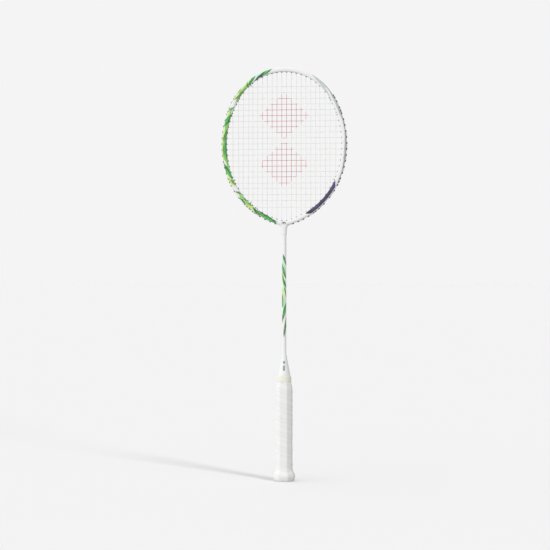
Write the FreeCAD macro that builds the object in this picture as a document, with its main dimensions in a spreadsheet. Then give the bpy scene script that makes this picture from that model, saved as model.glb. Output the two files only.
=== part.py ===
"""Badminton racket, standing upright on the flat end of its handle.

Frame: millimetres, +Z runs up the shaft to the head, the strings lie in the XZ plane and the origin is
the middle of the flat butt.  Every size comes from the spreadsheet; the smaller pieces are bodies and
primitives bound to its cells, and the curved frame, its grommets and the strings are shapes that read it.
"""
import FreeCAD, Part
import math
import os

import Sketcher
from FreeCAD import Placement, Rotation, Vector

os.makedirs("parts", exist_ok=True)
doc = FreeCAD.newDocument("badminton_racket")

# ---------------------------------------------------------------- driving dimensions

DIMENSIONS = [
    # whole racket
    ("overall_length", 675.0, "butt to the top of the head"),
    ("head_width", 204.5, "outside of the frame, left to right"),
    ("head_length", 257.5, "outside of the frame, top to the tip at the throat"),
    # frame tube
    ("tube_width", 7.0, "in the plane of the strings"),
    ("tube_depth", 10.4, "across the plane of the strings"),
    ("tube_round", 2.6, "corner radius of the tube's section"),
    ("tube_wall", 1.0, "laminate thickness"),
    ("groove_width", 4.4, "outer channel over the top of the head"),
    ("groove_depth", 1.5, "outer channel over the top of the head"),
    ("channel_depth", 1.6, "string tunnel through the throat's saddle"),
    ("top_turn", 58.0, "degrees turned by the arc over the top and shoulder"),
    ("side_turn", 48.0, "degrees turned by the side arc"),
    ("lower_turn", 58.5, "degrees turned by the lower arc"),
    ("tip_radius", 26.0, "small arc at the throat"),
    # string bed
    ("string_diameter", 0.68, "gauge of the string"),
    ("string_gap", 0.04, "between the main and cross layers"),
    ("main_span", 0.891, "outermost mains, share of the inside width"),
    ("main_end_gap", 1.18, "outermost main gap over the usual one"),
    ("cross_top_margin", 23.0, "inside of the frame to the first cross"),
    ("cross_bottom_margin", 22.3, "inside of the frame to the last cross"),
    ("cross_end_gap", 1.13, "gaps near the ends over the usual one"),
    # grommets
    ("grommet_bore", 1.7, "inside of a barrel"),
    ("grommet_wall", 0.4, "barrel wall"),
    ("grommet_reach", 1.0, "barrel standing inside the head"),
    ("grommet_flange", 3.8, "flange lying in the groove"),
    ("flange_thickness", 0.35, "flange lying in the groove"),
    ("string_lift", 0.3, "string over the flanges it passes"),
    ("knot_diameter", 2.6, "tie-off knot"),
    # shaft and throat
    ("shaft_diameter", 7.0, "outside of the shaft"),
    ("shaft_bore", 5.0, "inside of the shaft"),
    ("shaft_top", 401.0, "where the throat piece starts"),
    ("shaft_bottom", 62.0, "depth of the shaft in the handle"),
    ("throat_width", 36.0, "saddle, left to right"),
    ("throat_depth", 9.6, "saddle, front to back"),
    ("throat_neck", 8.0, "neck over the shaft"),
    ("spigot_length", 26.0, "peg inside the shaft"),
    # cone cap
    ("cone_base", 20.0, "wide end of the cone"),
    ("cone_tip", 8.6, "narrow end of the cone"),
    ("cone_length", 35.0, "along the shaft"),
    ("cone_lip", 2.2, "straight rim of the cone"),
    # handle
    ("handle_top", 171.0, "end of the wooden handle"),
    ("handle_width", 23.6, "bare wood, left to right"),
    ("handle_depth", 21.1, "bare wood, front to back"),
    ("handle_bevel", 6.2, "leg of each corner bevel"),
    ("handle_taper", 1.5, "how far the top end draws in"),
    ("taper_length", 24.0, "drawn-in length at the top"),
    ("butt_flare", 4.2, "how far the butt swells"),
    ("butt_height", 20.0, "height of the swelling"),
    ("lightening_bore", 11.0, "hole up the handle from the butt"),
    ("lightening_depth", 42.0, "hole up the handle from the butt"),
    ("cap_thickness", 2.0, "plate under the butt"),
    # grip
    ("grip_thickness", 1.7, "wrapped grip"),
    ("band_length", 8.0, "finishing tape over the top of the grip"),
    ("band_thickness", 0.5, "finishing tape over the top of the grip"),
    ("staple_width", 9.0, "crown of the staple"),
    ("staple_wire", 0.9, "wire of the staple"),
    ("staple_leg", 5.0, "leg of the staple"),
    # fits
    ("glue_gap", 0.05, "between glued pieces"),
]

sheet = doc.addObject("Spreadsheet::Sheet", "Sizes")
for row, (alias, number, meaning) in enumerate(DIMENSIONS, start=1):
    sheet.set("A%d" % row, meaning)
    sheet.set("B%d" % row, str(number))
    sheet.setAlias("B%d" % row, alias)
doc.recompute()


class Measure:
    """A length that keeps both its number and the spreadsheet formula behind it."""

    def __init__(self, number, formula):
        self.number = number
        self.formula = formula

    def _joined(self, other, sign, number):
        other_formula = other.formula if isinstance(other, Measure) else str(other)
        return Measure(number, "(%s %s %s)" % (self.formula, sign, other_formula))

    def __add__(self, other):
        return self._joined(other, "+", self.number + plain(other))

    def __sub__(self, other):
        return self._joined(other, "-", self.number - plain(other))

    def __mul__(self, other):
        return self._joined(other, "*", self.number * plain(other))

    def __truediv__(self, other):
        return self._joined(other, "/", self.number / plain(other))

    def __neg__(self):
        return self * -1


def plain(value):
    return value.number if isinstance(value, Measure) else value


def size(alias):
    return Measure(float(sheet.get(alias)), "Sizes." + alias)


def number_of(alias):
    return float(sheet.get(alias))


def bind(thing, prop, measure):
    thing.setExpression(prop, measure.formula)


ZERO = size("overall_length") * 0

# Shapes that keep their look when the sizes change, as shares of the sizes they belong to.
BUTT_PROFILE = [(0.22, 0.86), (0.42, 1.0), (0.62, 0.72), (0.82, 0.26), (1.1, 0.0)]  # height, swelling
WOOD_FOOT_SWELL = 0.62
GRIP_FOOT_SWELL = 0.42
GRIP_FOOT_HEIGHT = 0.3
GRIP_TOP_THINNING = 0.3
CAP_INSET = 0.15
CAP_CHAMFER = 0.25
CAP_CHAMFER_HEIGHT = 0.4
STAPLE_PLACE = 0.42
STAPLE_HOLE = 1.5
STAPLE_CROWN = 0.6
TAPE_OVER_GRIP = 0.7
TAPE_LAYERS = 2.6
CONE_WAIST_HEIGHT = 0.38
CONE_WAIST = 0.55
THROAT_WAIST = 0.3
THROAT_BULGE = 0.42
THROAT_SHOULDER = 0.8
THROAT_EAR = 2.2  # millimetres above the foot of the tube's hollow side
THROAT_CONE = 1.5
STRING_BEND = 1.2
KNOT_ROUNDING = 0.45
KNOT_SEAT = 0.4  # millimetres between a knot and its grommet

# ---------------------------------------------------------------- helpers for bodies


def new_body(label):
    body = doc.addObject("PartDesign::Body", label)
    body.Label = label
    return body


def new_sketch(body, name, role, offset=None):
    sketch = body.newObject("Sketcher::SketchObject", name)
    plane = [feature for feature in body.Origin.OriginFeatures if feature.Role == role][0]
    sketch.AttachmentSupport = [(plane, "")]
    sketch.MapMode = "FlatFace"
    if offset is not None:
        sketch.AttachmentOffset = Placement(Vector(0, 0, offset.number), Rotation())
        bind(sketch, "AttachmentOffset.Base.z", offset)
    return sketch


def pin_coordinate(sketch, index, kind, measure):
    """Tie one coordinate of an edge's first point to the sheet, or to the axis when it is zero."""
    if abs(measure.number) < 1e-9:
        axis = -2 if kind == "DistanceX" else -1
        sketch.addConstraint(Sketcher.Constraint("PointOnObject", index, 1, axis))
        return
    row = sketch.addConstraint(Sketcher.Constraint(kind, -1, 1, index, 1, measure.number))
    bind(sketch, "Constraints[%d]" % row, measure)


def outline(body, name, role, corners, offset=None):
    """A closed outline of straight edges whose corners are all bound to the sheet."""
    sketch = new_sketch(body, name, role, offset)
    count = len(corners)
    for index in range(count):
        a, b = corners[index], corners[(index + 1) % count]
        start = Vector(a[0].number, a[1].number, 0)
        end = Vector(b[0].number, b[1].number, 0)
        sketch.addGeometry(Part.LineSegment(start, end), False)
    for index in range(count):
        sketch.addConstraint(Sketcher.Constraint("Coincident", index, 2, (index + 1) % count, 1))
    for index, (across, along) in enumerate(corners):
        pin_coordinate(sketch, index, "DistanceX", across)
        pin_coordinate(sketch, index, "DistanceY", along)
    return sketch


def circles(body, name, role, places, diameter, offset=None):
    """Equal circles at the given places."""
    sketch = new_sketch(body, name, role, offset)
    for index, (across, along) in enumerate(places):
        centre = Vector(across.number, along.number, 0)
        sketch.addGeometry(Part.Circle(centre, Vector(0, 0, 1), diameter.number / 2), False)
        row = sketch.addConstraint(Sketcher.Constraint("Diameter", index, diameter.number))
        bind(sketch, "Constraints[%d]" % row, diameter)
        for kind, axis, measure in (("DistanceX", -2, across), ("DistanceY", -1, along)):
            if abs(measure.number) < 1e-9:
                sketch.addConstraint(Sketcher.Constraint("PointOnObject", index, 3, axis))
            else:
                row = sketch.addConstraint(Sketcher.Constraint(kind, -1, 1, index, 3, measure.number))
                bind(sketch, "Constraints[%d]" % row, measure)
    return sketch


def turned(label, corners):
    """A body turned about Z from an outline in the XZ plane."""
    body = new_body(label)
    sketch = outline(body, label + "_outline", "XZ_Plane", corners)
    spin = body.newObject("PartDesign::Revolution", label + "_turning")
    spin.Profile = sketch
    spin.ReferenceAxis = (sketch, ["V_Axis"])
    spin.Angle = 360
    body.Tip = spin
    return body


def pocket(body, name, sketch, depth):
    """Cut a sketch into the body and make sure that material really came off."""
    doc.recompute()
    before = body.Shape.Volume
    cut = body.newObject("PartDesign::Pocket", name)
    cut.Profile = sketch
    cut.Length = depth.number
    bind(cut, "Length", depth)
    body.Tip = cut
    doc.recompute()
    if body.Shape.Volume > before - 0.1:
        raise RuntimeError(name + " cuts nothing")
    return cut


def octagon(body, name, height, grow):
    """The handle's eight-sided section at a height, grown outwards all round by a distance."""
    half_x = size("handle_width") / 2 + grow
    half_y = size("handle_depth") / 2 + grow
    leg = size("handle_bevel") + grow * (2 - math.sqrt(2))
    flat_x, flat_y = half_x - leg, half_y - leg
    corners = [
        (half_x, -flat_y), (half_x, flat_y), (flat_x, half_y), (-flat_x, half_y),
        (-half_x, flat_y), (-half_x, -flat_y), (-flat_x, -half_y), (flat_x, -half_y),
    ]
    return outline(body, name, "XY_Plane", corners, height)


def loft(body, kind, name, stations, extra):
    """Ruled loft through octagons at (height, grow) stations, each grown by a further distance."""
    sketches = []
    for index, (height, grow) in enumerate(stations):
        sketches.append(octagon(body, "%s_%d" % (name, index), height, grow + extra))
    feature = body.newObject("PartDesign::" + kind, name)
    feature.Profile = sketches[0]
    feature.Sections = sketches[1:]
    feature.Ruled = True
    body.Tip = feature
    return feature


# ---------------------------------------------------------------- handle, cap, grip

butt_flare = size("butt_flare")
butt_height = size("butt_height")
taper_start = size("handle_top") - size("taper_length")
band_start = size("handle_top") - size("band_length")


def handle_stations(feet, last_height):
    """Heights and growths of the handle from its butt to a height near its top."""
    swelling = [(butt_height * height, butt_flare * swell) for height, swell in BUTT_PROFILE]
    top = [(taper_start, ZERO), (last_height, -size("handle_taper"))]
    return feet + swelling + top


butt_foot = (size("cap_thickness"), butt_flare * WOOD_FOOT_SWELL)
grip_foot = (size("cap_thickness") * GRIP_FOOT_HEIGHT, butt_flare * GRIP_FOOT_SWELL)

handle_core = new_body("handle_core")
loft(handle_core, "AdditiveLoft", "core_loft", handle_stations([butt_foot], band_start), ZERO)
core_neck = octagon(handle_core, "core_neck", band_start, -size("handle_taper"))
core_end = handle_core.newObject("PartDesign::Pad", "core_end")
core_end.Profile = core_neck
core_end.Length = number_of("band_length")
bind(core_end, "Length", size("band_length"))
handle_core.Tip = core_end
middle = [(ZERO, ZERO)]
shaft_hole = size("shaft_diameter") + size("glue_gap") * 2
shaft_sketch = circles(handle_core, "shaft_hole", "XY_Plane", middle, shaft_hole, size("handle_top"))
shaft_depth = size("handle_top") - size("shaft_bottom")
pocket(handle_core, "shaft_socket", shaft_sketch, shaft_depth)
hollow_top = size("cap_thickness") + size("lightening_depth")
hollow = circles(handle_core, "hollow", "XY_Plane", middle, size("lightening_bore"), hollow_top)
pocket(handle_core, "lightening_hole", hollow, size("lightening_depth"))

staple_height = butt_height * STAPLE_PLACE
staple_wire = size("staple_wire")
staple_half = (size("staple_width") - staple_wire) / 2
core_face = size("handle_depth") / 2 + butt_flare
grip_face = core_face + size("grip_thickness")
leg_places = [(-staple_half, staple_height), (staple_half, staple_height)]
leg_hole = staple_wire * STAPLE_HOLE
leg_start = grip_face - size("staple_leg")
core_legs = circles(handle_core, "staple_holes", "XZ_Plane", leg_places, leg_hole, -leg_start)
pocket(handle_core, "staple_holes_cut", core_legs, size("staple_leg"))

grip_tape = new_body("grip_tape")
thick = size("grip_thickness")
grip_top = (band_start, -size("handle_taper") - thick * GRIP_TOP_THINNING)
grip_outer = handle_stations([grip_foot, butt_foot], band_start)[:-1] + [grip_top]
loft(grip_tape, "AdditiveLoft", "grip_outside", grip_outer, thick)
grip_inner = handle_stations([grip_foot, butt_foot], band_start)
loft(grip_tape, "SubtractiveLoft", "grip_inside", grip_inner, size("glue_gap"))
grip_legs = circles(grip_tape, "grip_holes", "XZ_Plane", leg_places, leg_hole, -leg_start)
pocket(grip_tape, "grip_holes_cut", grip_legs, size("staple_leg"))

butt_cap = new_body("butt_cap")
cap_grow = butt_flare * GRIP_FOOT_SWELL - (size("glue_gap") + size("cap_thickness") * CAP_INSET)
cap_low = (ZERO, cap_grow - size("cap_thickness") * CAP_CHAMFER)
cap_mid = (size("cap_thickness") * CAP_CHAMFER_HEIGHT, cap_grow)
cap_top = (size("cap_thickness"), cap_grow)
loft(butt_cap, "AdditiveLoft", "cap_loft", [cap_low, cap_mid, cap_top], ZERO)

finishing_tape = new_body("finishing_tape")
tape_low = band_start + size("glue_gap")
tape_in = size("glue_gap") - size("handle_taper")
tape_out = tape_in + thick * TAPE_OVER_GRIP
tape_outer = [(tape_low, tape_out), (size("handle_top"), tape_in + size("band_thickness") * TAPE_LAYERS)]
tape_inner = [(tape_low, tape_in), (size("handle_top"), tape_in)]
loft(finishing_tape, "AdditiveLoft", "tape_outside", tape_outer, ZERO)
loft(finishing_tape, "SubtractiveLoft", "tape_inside", tape_inner, ZERO)

cone_foot = size("handle_top") + size("glue_gap")
cone_end = cone_foot + size("cone_length")
cone_bore = size("shaft_diameter") / 2 + size("glue_gap")
cone_waist = size("cone_base") * CONE_WAIST + size("cone_tip") * (1 - CONE_WAIST)
cone_cap = turned("cone_cap", [
    (cone_bore, cone_foot),
    (size("cone_base") / 2, cone_foot),
    (size("cone_base") / 2, cone_foot + size("cone_lip")),
    (cone_waist / 2, cone_foot + size("cone_length") * CONE_WAIST_HEIGHT),
    (size("cone_tip") / 2, cone_end - size("cone_lip")),
    (size("cone_tip") / 2, cone_end),
    (cone_bore, cone_end),
])

# ---------------------------------------------------------------- shaft and staple (primitives)


def cylinder(name, diameter, bottom, length):
    solid = doc.addObject("Part::Cylinder", name)
    bind(solid, "Radius", diameter / 2)
    bind(solid, "Height", length)
    bind(solid, "Placement.Base.z", bottom)
    return solid


shaft_length = size("shaft_top") - size("shaft_bottom")
shaft = doc.addObject("Part::Cut", "shaft")
shaft.Base = cylinder("shaft_outside", size("shaft_diameter"), size("shaft_bottom"), shaft_length)
shaft.Tool = cylinder("shaft_inside", size("shaft_bore"), size("shaft_bottom"), shaft_length)


def block(name, corner, sides):
    solid = doc.addObject("Part::Box", name)
    for prop, measure in zip(("Length", "Width", "Height"), sides):
        bind(solid, prop, measure)
    for prop, measure in zip(("x", "y", "z"), corner):
        bind(solid, "Placement.Base." + prop, measure)
    return solid


staple_bottom = staple_height - staple_wire / 2
crown_face = grip_face + size("glue_gap")
leg_sides = (staple_wire, size("staple_leg"), staple_wire)
leg_back = crown_face - size("staple_leg") + size("glue_gap") * 2
grip_staple = doc.addObject("Part::MultiFuse", "grip_staple")
grip_staple.Shapes = [
    block("staple_crown", (-size("staple_width") / 2, crown_face, staple_bottom),
          (size("staple_width"), staple_wire * STAPLE_CROWN, staple_wire)),
    block("staple_leg_left", (-size("staple_width") / 2, leg_back, staple_bottom), leg_sides),
    block("staple_leg_right", (staple_half - staple_wire / 2, leg_back, staple_bottom), leg_sides),
]

# ---------------------------------------------------------------- the frame's outline


class TubeArc:
    """One arc of the right half of the frame's centreline; a heading of 0 points outwards to +Z."""

    def __init__(self, centre, radius, start, end):
        self.centre = centre
        self.radius = radius
        self.start = start
        self.end = end

    def at(self, heading, outward=0.0):
        reach = self.radius + outward
        return self.centre + Vector(math.sin(heading), 0, math.cos(heading)) * reach


def solve_three(rows, right):
    """Three linear equations by Cramer's rule."""
    whole = FreeCAD.Matrix(*[value for row in rows for value in list(row) + [0]], 0, 0, 0, 1).determinant()
    answers = []
    for column in range(3):
        swapped = [list(row) for row in rows]
        for index in range(3):
            swapped[index][column] = right[index]
        matrix = FreeCAD.Matrix(*[value for row in swapped for value in row + [0]], 0, 0, 0, 1)
        answers.append(matrix.determinant() / whole)
    return answers


def frame_outline():
    """Four tangent arcs down the right side, whose radii give the head its width and length."""
    half = (number_of("head_width") - number_of("tube_width")) / 2
    drop = number_of("head_length") - number_of("tube_width")
    tip = number_of("tip_radius")
    headings = [0.0]
    for alias in ("top_turn", "side_turn", "lower_turn"):
        headings.append(headings[-1] + math.radians(number_of(alias)))
    headings.append(math.pi)
    sine = [math.sin(heading) for heading in headings]
    cosine = [math.cos(heading) for heading in headings]
    rows = [
        (sine[1], 1 - sine[1], 0),
        (0, 1 - sine[2], sine[2] - sine[3]),
        (1 - cosine[1], cosine[1] - cosine[2], cosine[2] - cosine[3]),
    ]
    right = [half, half - tip * sine[3], drop - tip * (cosine[3] + 1)]
    radii = solve_three(rows, right) + [tip]
    point = Vector(0, 0, number_of("overall_length") - number_of("tube_width") / 2)
    arcs = []
    for radius, start, end in zip(radii, headings, headings[1:]):
        centre = point - Vector(math.sin(start), 0, math.cos(start)) * radius
        arcs.append(TubeArc(centre, radius, start, end))
        point = arcs[-1].at(end)
    return arcs


ARCS = frame_outline()
print("frame radii", [round(arc.radius, 1) for arc in ARCS])


def arc_edge(centre, radius, start, end):
    """Arc in the section's own plane: first coordinate outwards, second across the strings."""
    points = []
    for turn in (start, (start + end) / 2, end):
        angle = math.radians(turn)
        points.append(Vector(0, centre[1] + radius * math.sin(angle), centre[0] + radius * math.cos(angle)))
    return Part.Arc(*points).toShape()


def closed_wire(edges):
    """Join arcs in order with straight edges into one closed wire."""
    joined = []
    for index, edge in enumerate(edges):
        joined.append(edge)
        start = edge.lastVertex(True).Point
        end = edges[(index + 1) % len(edges)].firstVertex(True).Point
        if start.distanceToPoint(end) > 1e-6:
            joined.append(Part.makeLine(start, end))
    return Part.Wire(joined)


def rounded_section(low, high, half_depth, radius):
    """Rounded rectangle between two outward distances."""
    return closed_wire([
        arc_edge((high - radius, half_depth - radius), radius, 0, 90),
        arc_edge((low + radius, half_depth - radius), radius, 90, 180),
        arc_edge((low + radius, radius - half_depth), radius, 180, 270),
        arc_edge((high - radius, radius - half_depth), radius, 270, 360),
    ])


def swept_ring(section_face, arcs):
    """Turn a section about each arc's centre, both sides of the racket."""
    halves = []
    for arc in arcs:
        piece = section_face.copy()
        piece.translate(arc.centre + Vector(0, 0, arc.radius))
        piece.rotate(arc.centre, Vector(0, 1, 0), math.degrees(arc.start))
        solid = piece.revolve(arc.centre, Vector(0, 1, 0), math.degrees(arc.end - arc.start))
        halves.append(solid)
        halves.append(solid.mirror(Vector(0, 0, 0), Vector(1, 0, 0)))
    return halves[0].fuse(halves[1:]).removeSplitter()


HALF_TUBE = number_of("tube_width") / 2
HALF_DEPTH = number_of("tube_depth") / 2
GROOVE_FLOOR = HALF_TUBE - number_of("groove_depth")
WALL = number_of("tube_wall")


def tube_outside(grow=0.0):
    section = rounded_section(-HALF_TUBE - grow, HALF_TUBE + grow, HALF_DEPTH + grow,
                              number_of("tube_round") + grow)
    return swept_ring(Part.Face(section), ARCS)


def tube_hollow():
    """Space inside the tube, shallower where the groove runs."""
    def space(outermost, arcs):
        section = rounded_section(WALL - HALF_TUBE, outermost - WALL, HALF_DEPTH - WALL, WALL)
        return swept_ring(Part.Face(section), arcs)

    return space(GROOVE_FLOOR, ARCS[:1]).fuse(space(HALF_TUBE, ARCS[1:]))


def channel(low, high, arcs):
    """Square channel of the groove's width between two outward distances."""
    half_groove = number_of("groove_width") / 2
    section = Part.makePolygon([
        Vector(0, half_groove, low), Vector(0, -half_groove, low),
        Vector(0, -half_groove, high), Vector(0, half_groove, high), Vector(0, half_groove, low),
    ])
    return swept_ring(Part.Face(section), arcs)


# ---------------------------------------------------------------- string places and holes

MOUTH = -HALF_TUBE - number_of("grommet_reach")
RUN_LIFT = number_of("flange_thickness") + number_of("string_diameter") / 2 + number_of("string_lift")
PAIRS = 11
CROSSES = 22


def main_places():
    """Distances of the mains from the middle, on one side."""
    inside = number_of("head_width") / 2 - number_of("tube_width")
    outermost = inside * number_of("main_span")
    pitch = outermost / (PAIRS - 1.5 + number_of("main_end_gap"))
    places = [pitch * (index + 0.5) for index in range(PAIRS - 1)]
    return places + [outermost]


def cross_places():
    """Heights of the crosses from the top; the gaps are a little wider near both ends."""
    top = number_of("overall_length") - number_of("tube_width")
    first = top - number_of("cross_top_margin")
    last = top - number_of("head_length") + 2 * number_of("tube_width") + number_of("cross_bottom_margin")
    wide = number_of("cross_end_gap")
    shares = [wide] * 2 + [1.0] * (CROSSES - 5) + [wide, wide * 1.06]
    places = [first]
    for share in shares:
        places.append(places[-1] - share * (first - last) / sum(shares))
    return places


class Hole:
    """A grommet hole on the right half, square to the tube."""

    def __init__(self, arc, heading, along, users):
        self.arc = arc
        self.heading = heading
        self.along = along
        self.users = users
        self.floor = GROOVE_FLOOR if arc is ARCS[0] else HALF_TUBE

    def outside(self, side, lift):
        """Middle of a string lying over this hole's flange, in the groove or on the tube."""
        return self.at(self.floor + RUN_LIFT, side, lift)

    def at(self, outward, side, lift=0.0):
        point = self.arc.at(self.heading, outward)
        return Vector(point.x * side, lift, point.z)


def hole_at(along, users):
    """The hole at a distance along the centreline from the top."""
    passed = 0.0
    for arc in ARCS:
        length = arc.radius * (arc.end - arc.start)
        if along <= passed + length:
            return Hole(arc, arc.start + (along - passed) / arc.radius, along, users)
        passed += length
    raise RuntimeError("hole beyond the end of the frame")


def crossings(kind, place):
    """Distances along the tube where a string line meets the inner mouths of the grommets."""
    found = []
    passed = 0.0
    for arc in ARCS:
        reach = arc.radius + MOUTH
        if kind == "main":
            share = (place - arc.centre.x) / reach
        else:
            share = (place - arc.centre.z) / reach
        if abs(share) <= 1:
            if kind == "main":
                turns = [math.asin(share), math.pi - math.asin(share)]
            else:
                turns = [math.acos(share)]
            for heading in turns:
                if arc.start <= heading < arc.end:
                    found.append(passed + arc.radius * (heading - arc.start))
        passed += arc.radius * (arc.end - arc.start)
    return found


def all_holes():
    """Every hole of the right half from the top down; near neighbours share one hole."""
    wanted = []
    for index, place in enumerate(main_places()):
        for end, along in zip(("top", "bottom"), crossings("main", place)):
            wanted.append((along, ("main", index, end)))
    for index, place in enumerate(cross_places()):
        for along in crossings("cross", place):
            wanted.append((along, ("cross", index, "side")))
    wanted.sort()
    holes = []
    room = number_of("grommet_flange") + number_of("glue_gap")
    for along, user in wanted:
        if holes and along - holes[-1].along < room:
            shared = holes.pop()
            holes.append(hole_at((shared.along + along) / 2, shared.users + [user]))
        else:
            holes.append(hole_at(along, [user]))
    return holes


HOLES = all_holes()


def hole_for(kind, index, end):
    for hole in HOLES:
        if (kind, index, end) in hole.users:
            return hole
    raise RuntimeError("no hole for %s %d %s" % (kind, index, end))


def tie_hole(end_hole, direction):
    """Extra hole for a tie-off knot, midway in the first gap along the tube with room for its flange."""
    index = HOLES.index(end_hole)
    room = 2 * (number_of("grommet_flange") + number_of("glue_gap"))
    while abs(HOLES[index + direction].along - HOLES[index].along) < room:
        index += direction
    middle = (HOLES[index + direction].along + HOLES[index].along) / 2
    return hole_at(middle, [("tie", 0, "side")])


MAIN_TIE = tie_hole(hole_for("main", PAIRS - 1, "bottom"), 1)
CROSS_TOP_TIE = tie_hole(hole_for("cross", 0, "side"), -1)
CROSS_LOW_TIE = tie_hole(hole_for("cross", CROSSES - 1, "side"), -1)
TIES = [(MAIN_TIE, -1), (MAIN_TIE, 1), (CROSS_TOP_TIE, -1), (CROSS_LOW_TIE, -1)]

# ---------------------------------------------------------------- strings


def string_path(corners):
    """Straight runs joined by tangent arcs that fit between them."""
    bend = number_of("string_diameter") * STRING_BEND
    edges = []
    here = corners[0]
    for before, corner, after in zip(corners, corners[1:], corners[2:]):
        arriving = (corner - before).normalize()
        leaving = (after - corner).normalize()
        turn = arriving.getAngle(leaving)
        if turn < 1e-3:
            continue
        shorter = min(before.distanceToPoint(corner), after.distanceToPoint(corner))
        back = min(bend * math.tan(turn / 2), 0.45 * shorter)
        radius = back / math.tan(turn / 2)
        enter = corner - arriving * back
        leave = corner + leaving * back
        inward = (leaving - arriving).normalize()
        middle = corner + inward * (radius / math.cos(turn / 2) - radius)
        edges.append(Part.makeLine(here, enter))
        edges.append(Part.Arc(enter, middle, leave).toShape())
        here = leave
    edges.append(Part.makeLine(here, corners[-1]))
    return Part.Wire(edges)


def swept_string(corners, label):
    path = string_path(corners)
    radius = number_of("string_diameter") / 2
    start = path.Edges[0]
    direction = start.tangentAt(start.FirstParameter)
    disc = Part.Wire([Part.makeCircle(radius, corners[0], direction)])
    solid = path.makePipeShell([disc], True, False)
    expected = math.pi * radius ** 2 * path.Length
    print(label, "length", round(path.Length, 1), "volume ratio", round(solid.Volume / expected, 4))
    return solid


def groove_run(start, finish, side, lift):
    """Points over the grommets that a string passes on its way along the groove."""
    low, high = sorted((start.along, finish.along))
    passed = [hole for hole in HOLES if low + 0.1 < hole.along < high - 0.1]
    if start.along > finish.along:
        passed.reverse()
    return [hole.outside(side, lift) for hole in passed]


def serpentine(stops, lift, tie_start, tie_end):
    """Corners of a string from knot to knot: in and out of each pair of holes, along the groove between."""
    inside = MOUTH - KNOT_SEAT - number_of("knot_diameter") / 2
    here, side = tie_start
    corners = [here.at(inside, side, lift), here.outside(side, lift)]
    for first, first_side, last, last_side in stops:
        if first_side == side:
            corners += groove_run(here, first, side, lift)
        corners.append(first.outside(first_side, lift))
        corners.append(first.at(MOUTH, first_side, lift))
        corners.append(last.at(MOUTH, last_side, lift))
        corners.append(last.outside(last_side, lift))
        here, side = last, last_side
    finish, side = tie_end
    corners += groove_run(here, finish, side, lift)
    return corners + [finish.outside(side, lift), finish.at(inside, side, lift)]


LAYER = (number_of("string_diameter") + number_of("string_gap")) / 2


def main_corners():
    """The mains from left to right, looping at the top first so that the throat stays clear."""
    order = [(-1, index) for index in reversed(range(PAIRS))] + [(1, index) for index in range(PAIRS)]
    stops = []
    for count, (side, index) in enumerate(order):
        top = hole_for("main", index, "top")
        bottom = hole_for("main", index, "bottom")
        first, last = (bottom, top) if count % 2 == 0 else (top, bottom)
        stops.append((first, side, last, side))
    return serpentine(stops, -LAYER, (MAIN_TIE, -1), (MAIN_TIE, 1))


def cross_corners():
    """The crosses from the top down, starting and ending on the left."""
    stops = []
    for index in range(CROSSES):
        hole = hole_for("cross", index, "side")
        first_side = -1 if index % 2 == 0 else 1
        stops.append((hole, first_side, hole, -first_side))
    return serpentine(stops, LAYER, (CROSS_TOP_TIE, -1), (CROSS_LOW_TIE, -1))


# ---------------------------------------------------------------- frame, grommets, knots, throat


def peg(hole, side, low, high, radius):
    """Round peg along a hole's axis between two outward distances."""
    start = hole.at(low, side)
    direction = hole.at(high, side) - start
    return Part.makeCylinder(radius, direction.Length, start, direction)


def both_sides():
    """Each regular hole on both sides, then the tie-off holes."""
    return [(hole, side) for hole in HOLES for side in (-1, 1)] + TIES


BORE = number_of("grommet_bore") / 2
BARREL = BORE + number_of("grommet_wall")


def add_shape(label, shape):
    feature = doc.addObject("Part::Feature", label)
    feature.Label = label
    feature.Shape = shape
    return feature


hoop_outside = tube_outside()
drills = [peg(hole, side, -HALF_TUBE - 1, HALF_TUBE + 1, BARREL + number_of("glue_gap") / 2)
          for hole, side in both_sides()]
groove = channel(GROOVE_FLOOR, HALF_TUBE + 1, ARCS[:1])
hoop = hoop_outside.cut([tube_hollow(), groove]).cut(drills)
add_shape("frame_hoop", hoop)


def grommet(hole, side):
    """Barrel with a flange in the groove, open all through."""
    floor = hole.floor + number_of("glue_gap") / 2
    brim = floor + number_of("flange_thickness")
    body = peg(hole, side, MOUTH, brim, BARREL)
    flange = peg(hole, side, floor, brim, number_of("grommet_flange") / 2)
    return body.fuse(flange).cut(peg(hole, side, MOUTH - 1, brim + 1, BORE)).removeSplitter()


def zone_of(hole, side):
    """Which group a grommet belongs to, by what goes through it and where it sits."""
    kinds = {user[0] for user in hole.users}
    hand = "left" if side < 0 else "right"
    if "tie" in kinds:
        return "tie_off_grommets"
    if len(hole.users) > 1:
        return "shared_grommets"
    if "main" in kinds:
        return "top_grommets" if hole.users[0][2] == "top" else "throat_grommets"
    middle = number_of("overall_length") - number_of("head_length") / 2
    level = "upper" if hole.at(0, side).z > middle else "lower"
    return "%s_%s_grommets" % (level, hand)


groups = {}
for hole, side in both_sides():
    groups.setdefault(zone_of(hole, side), []).append(grommet(hole, side))
for label in sorted(groups):
    add_shape(label, Part.makeCompound(groups[label]))

main_string = swept_string(main_corners(), "mains")
cross_string = swept_string(cross_corners(), "crosses")
add_shape("main_string", main_string)
add_shape("cross_string", cross_string)


def knot(tie, side, lift, string):
    """Tie-off knot: a short barrel with rounded ends round the string's end, just inside the frame."""
    radius = number_of("knot_diameter") / 2
    start = tie.at(MOUTH - KNOT_SEAT, side, lift)
    away = tie.at(MOUTH - KNOT_SEAT - 1, side, lift) - start
    barrel = Part.makeCylinder(radius, number_of("knot_diameter"), start, away)
    rims = [edge for edge in barrel.Edges if len(edge.Vertexes) == 1]
    rounded = barrel.makeFillet(radius * KNOT_ROUNDING, rims)
    return rounded.cut(string)


knots = []
for (tie, side), string in zip(TIES, (main_string, main_string, cross_string, cross_string)):
    lift = -LAYER if string is main_string else LAYER
    knots.append(knot(tie, side, lift, string))
add_shape("string_knots", Part.makeCompound(knots))


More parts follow.
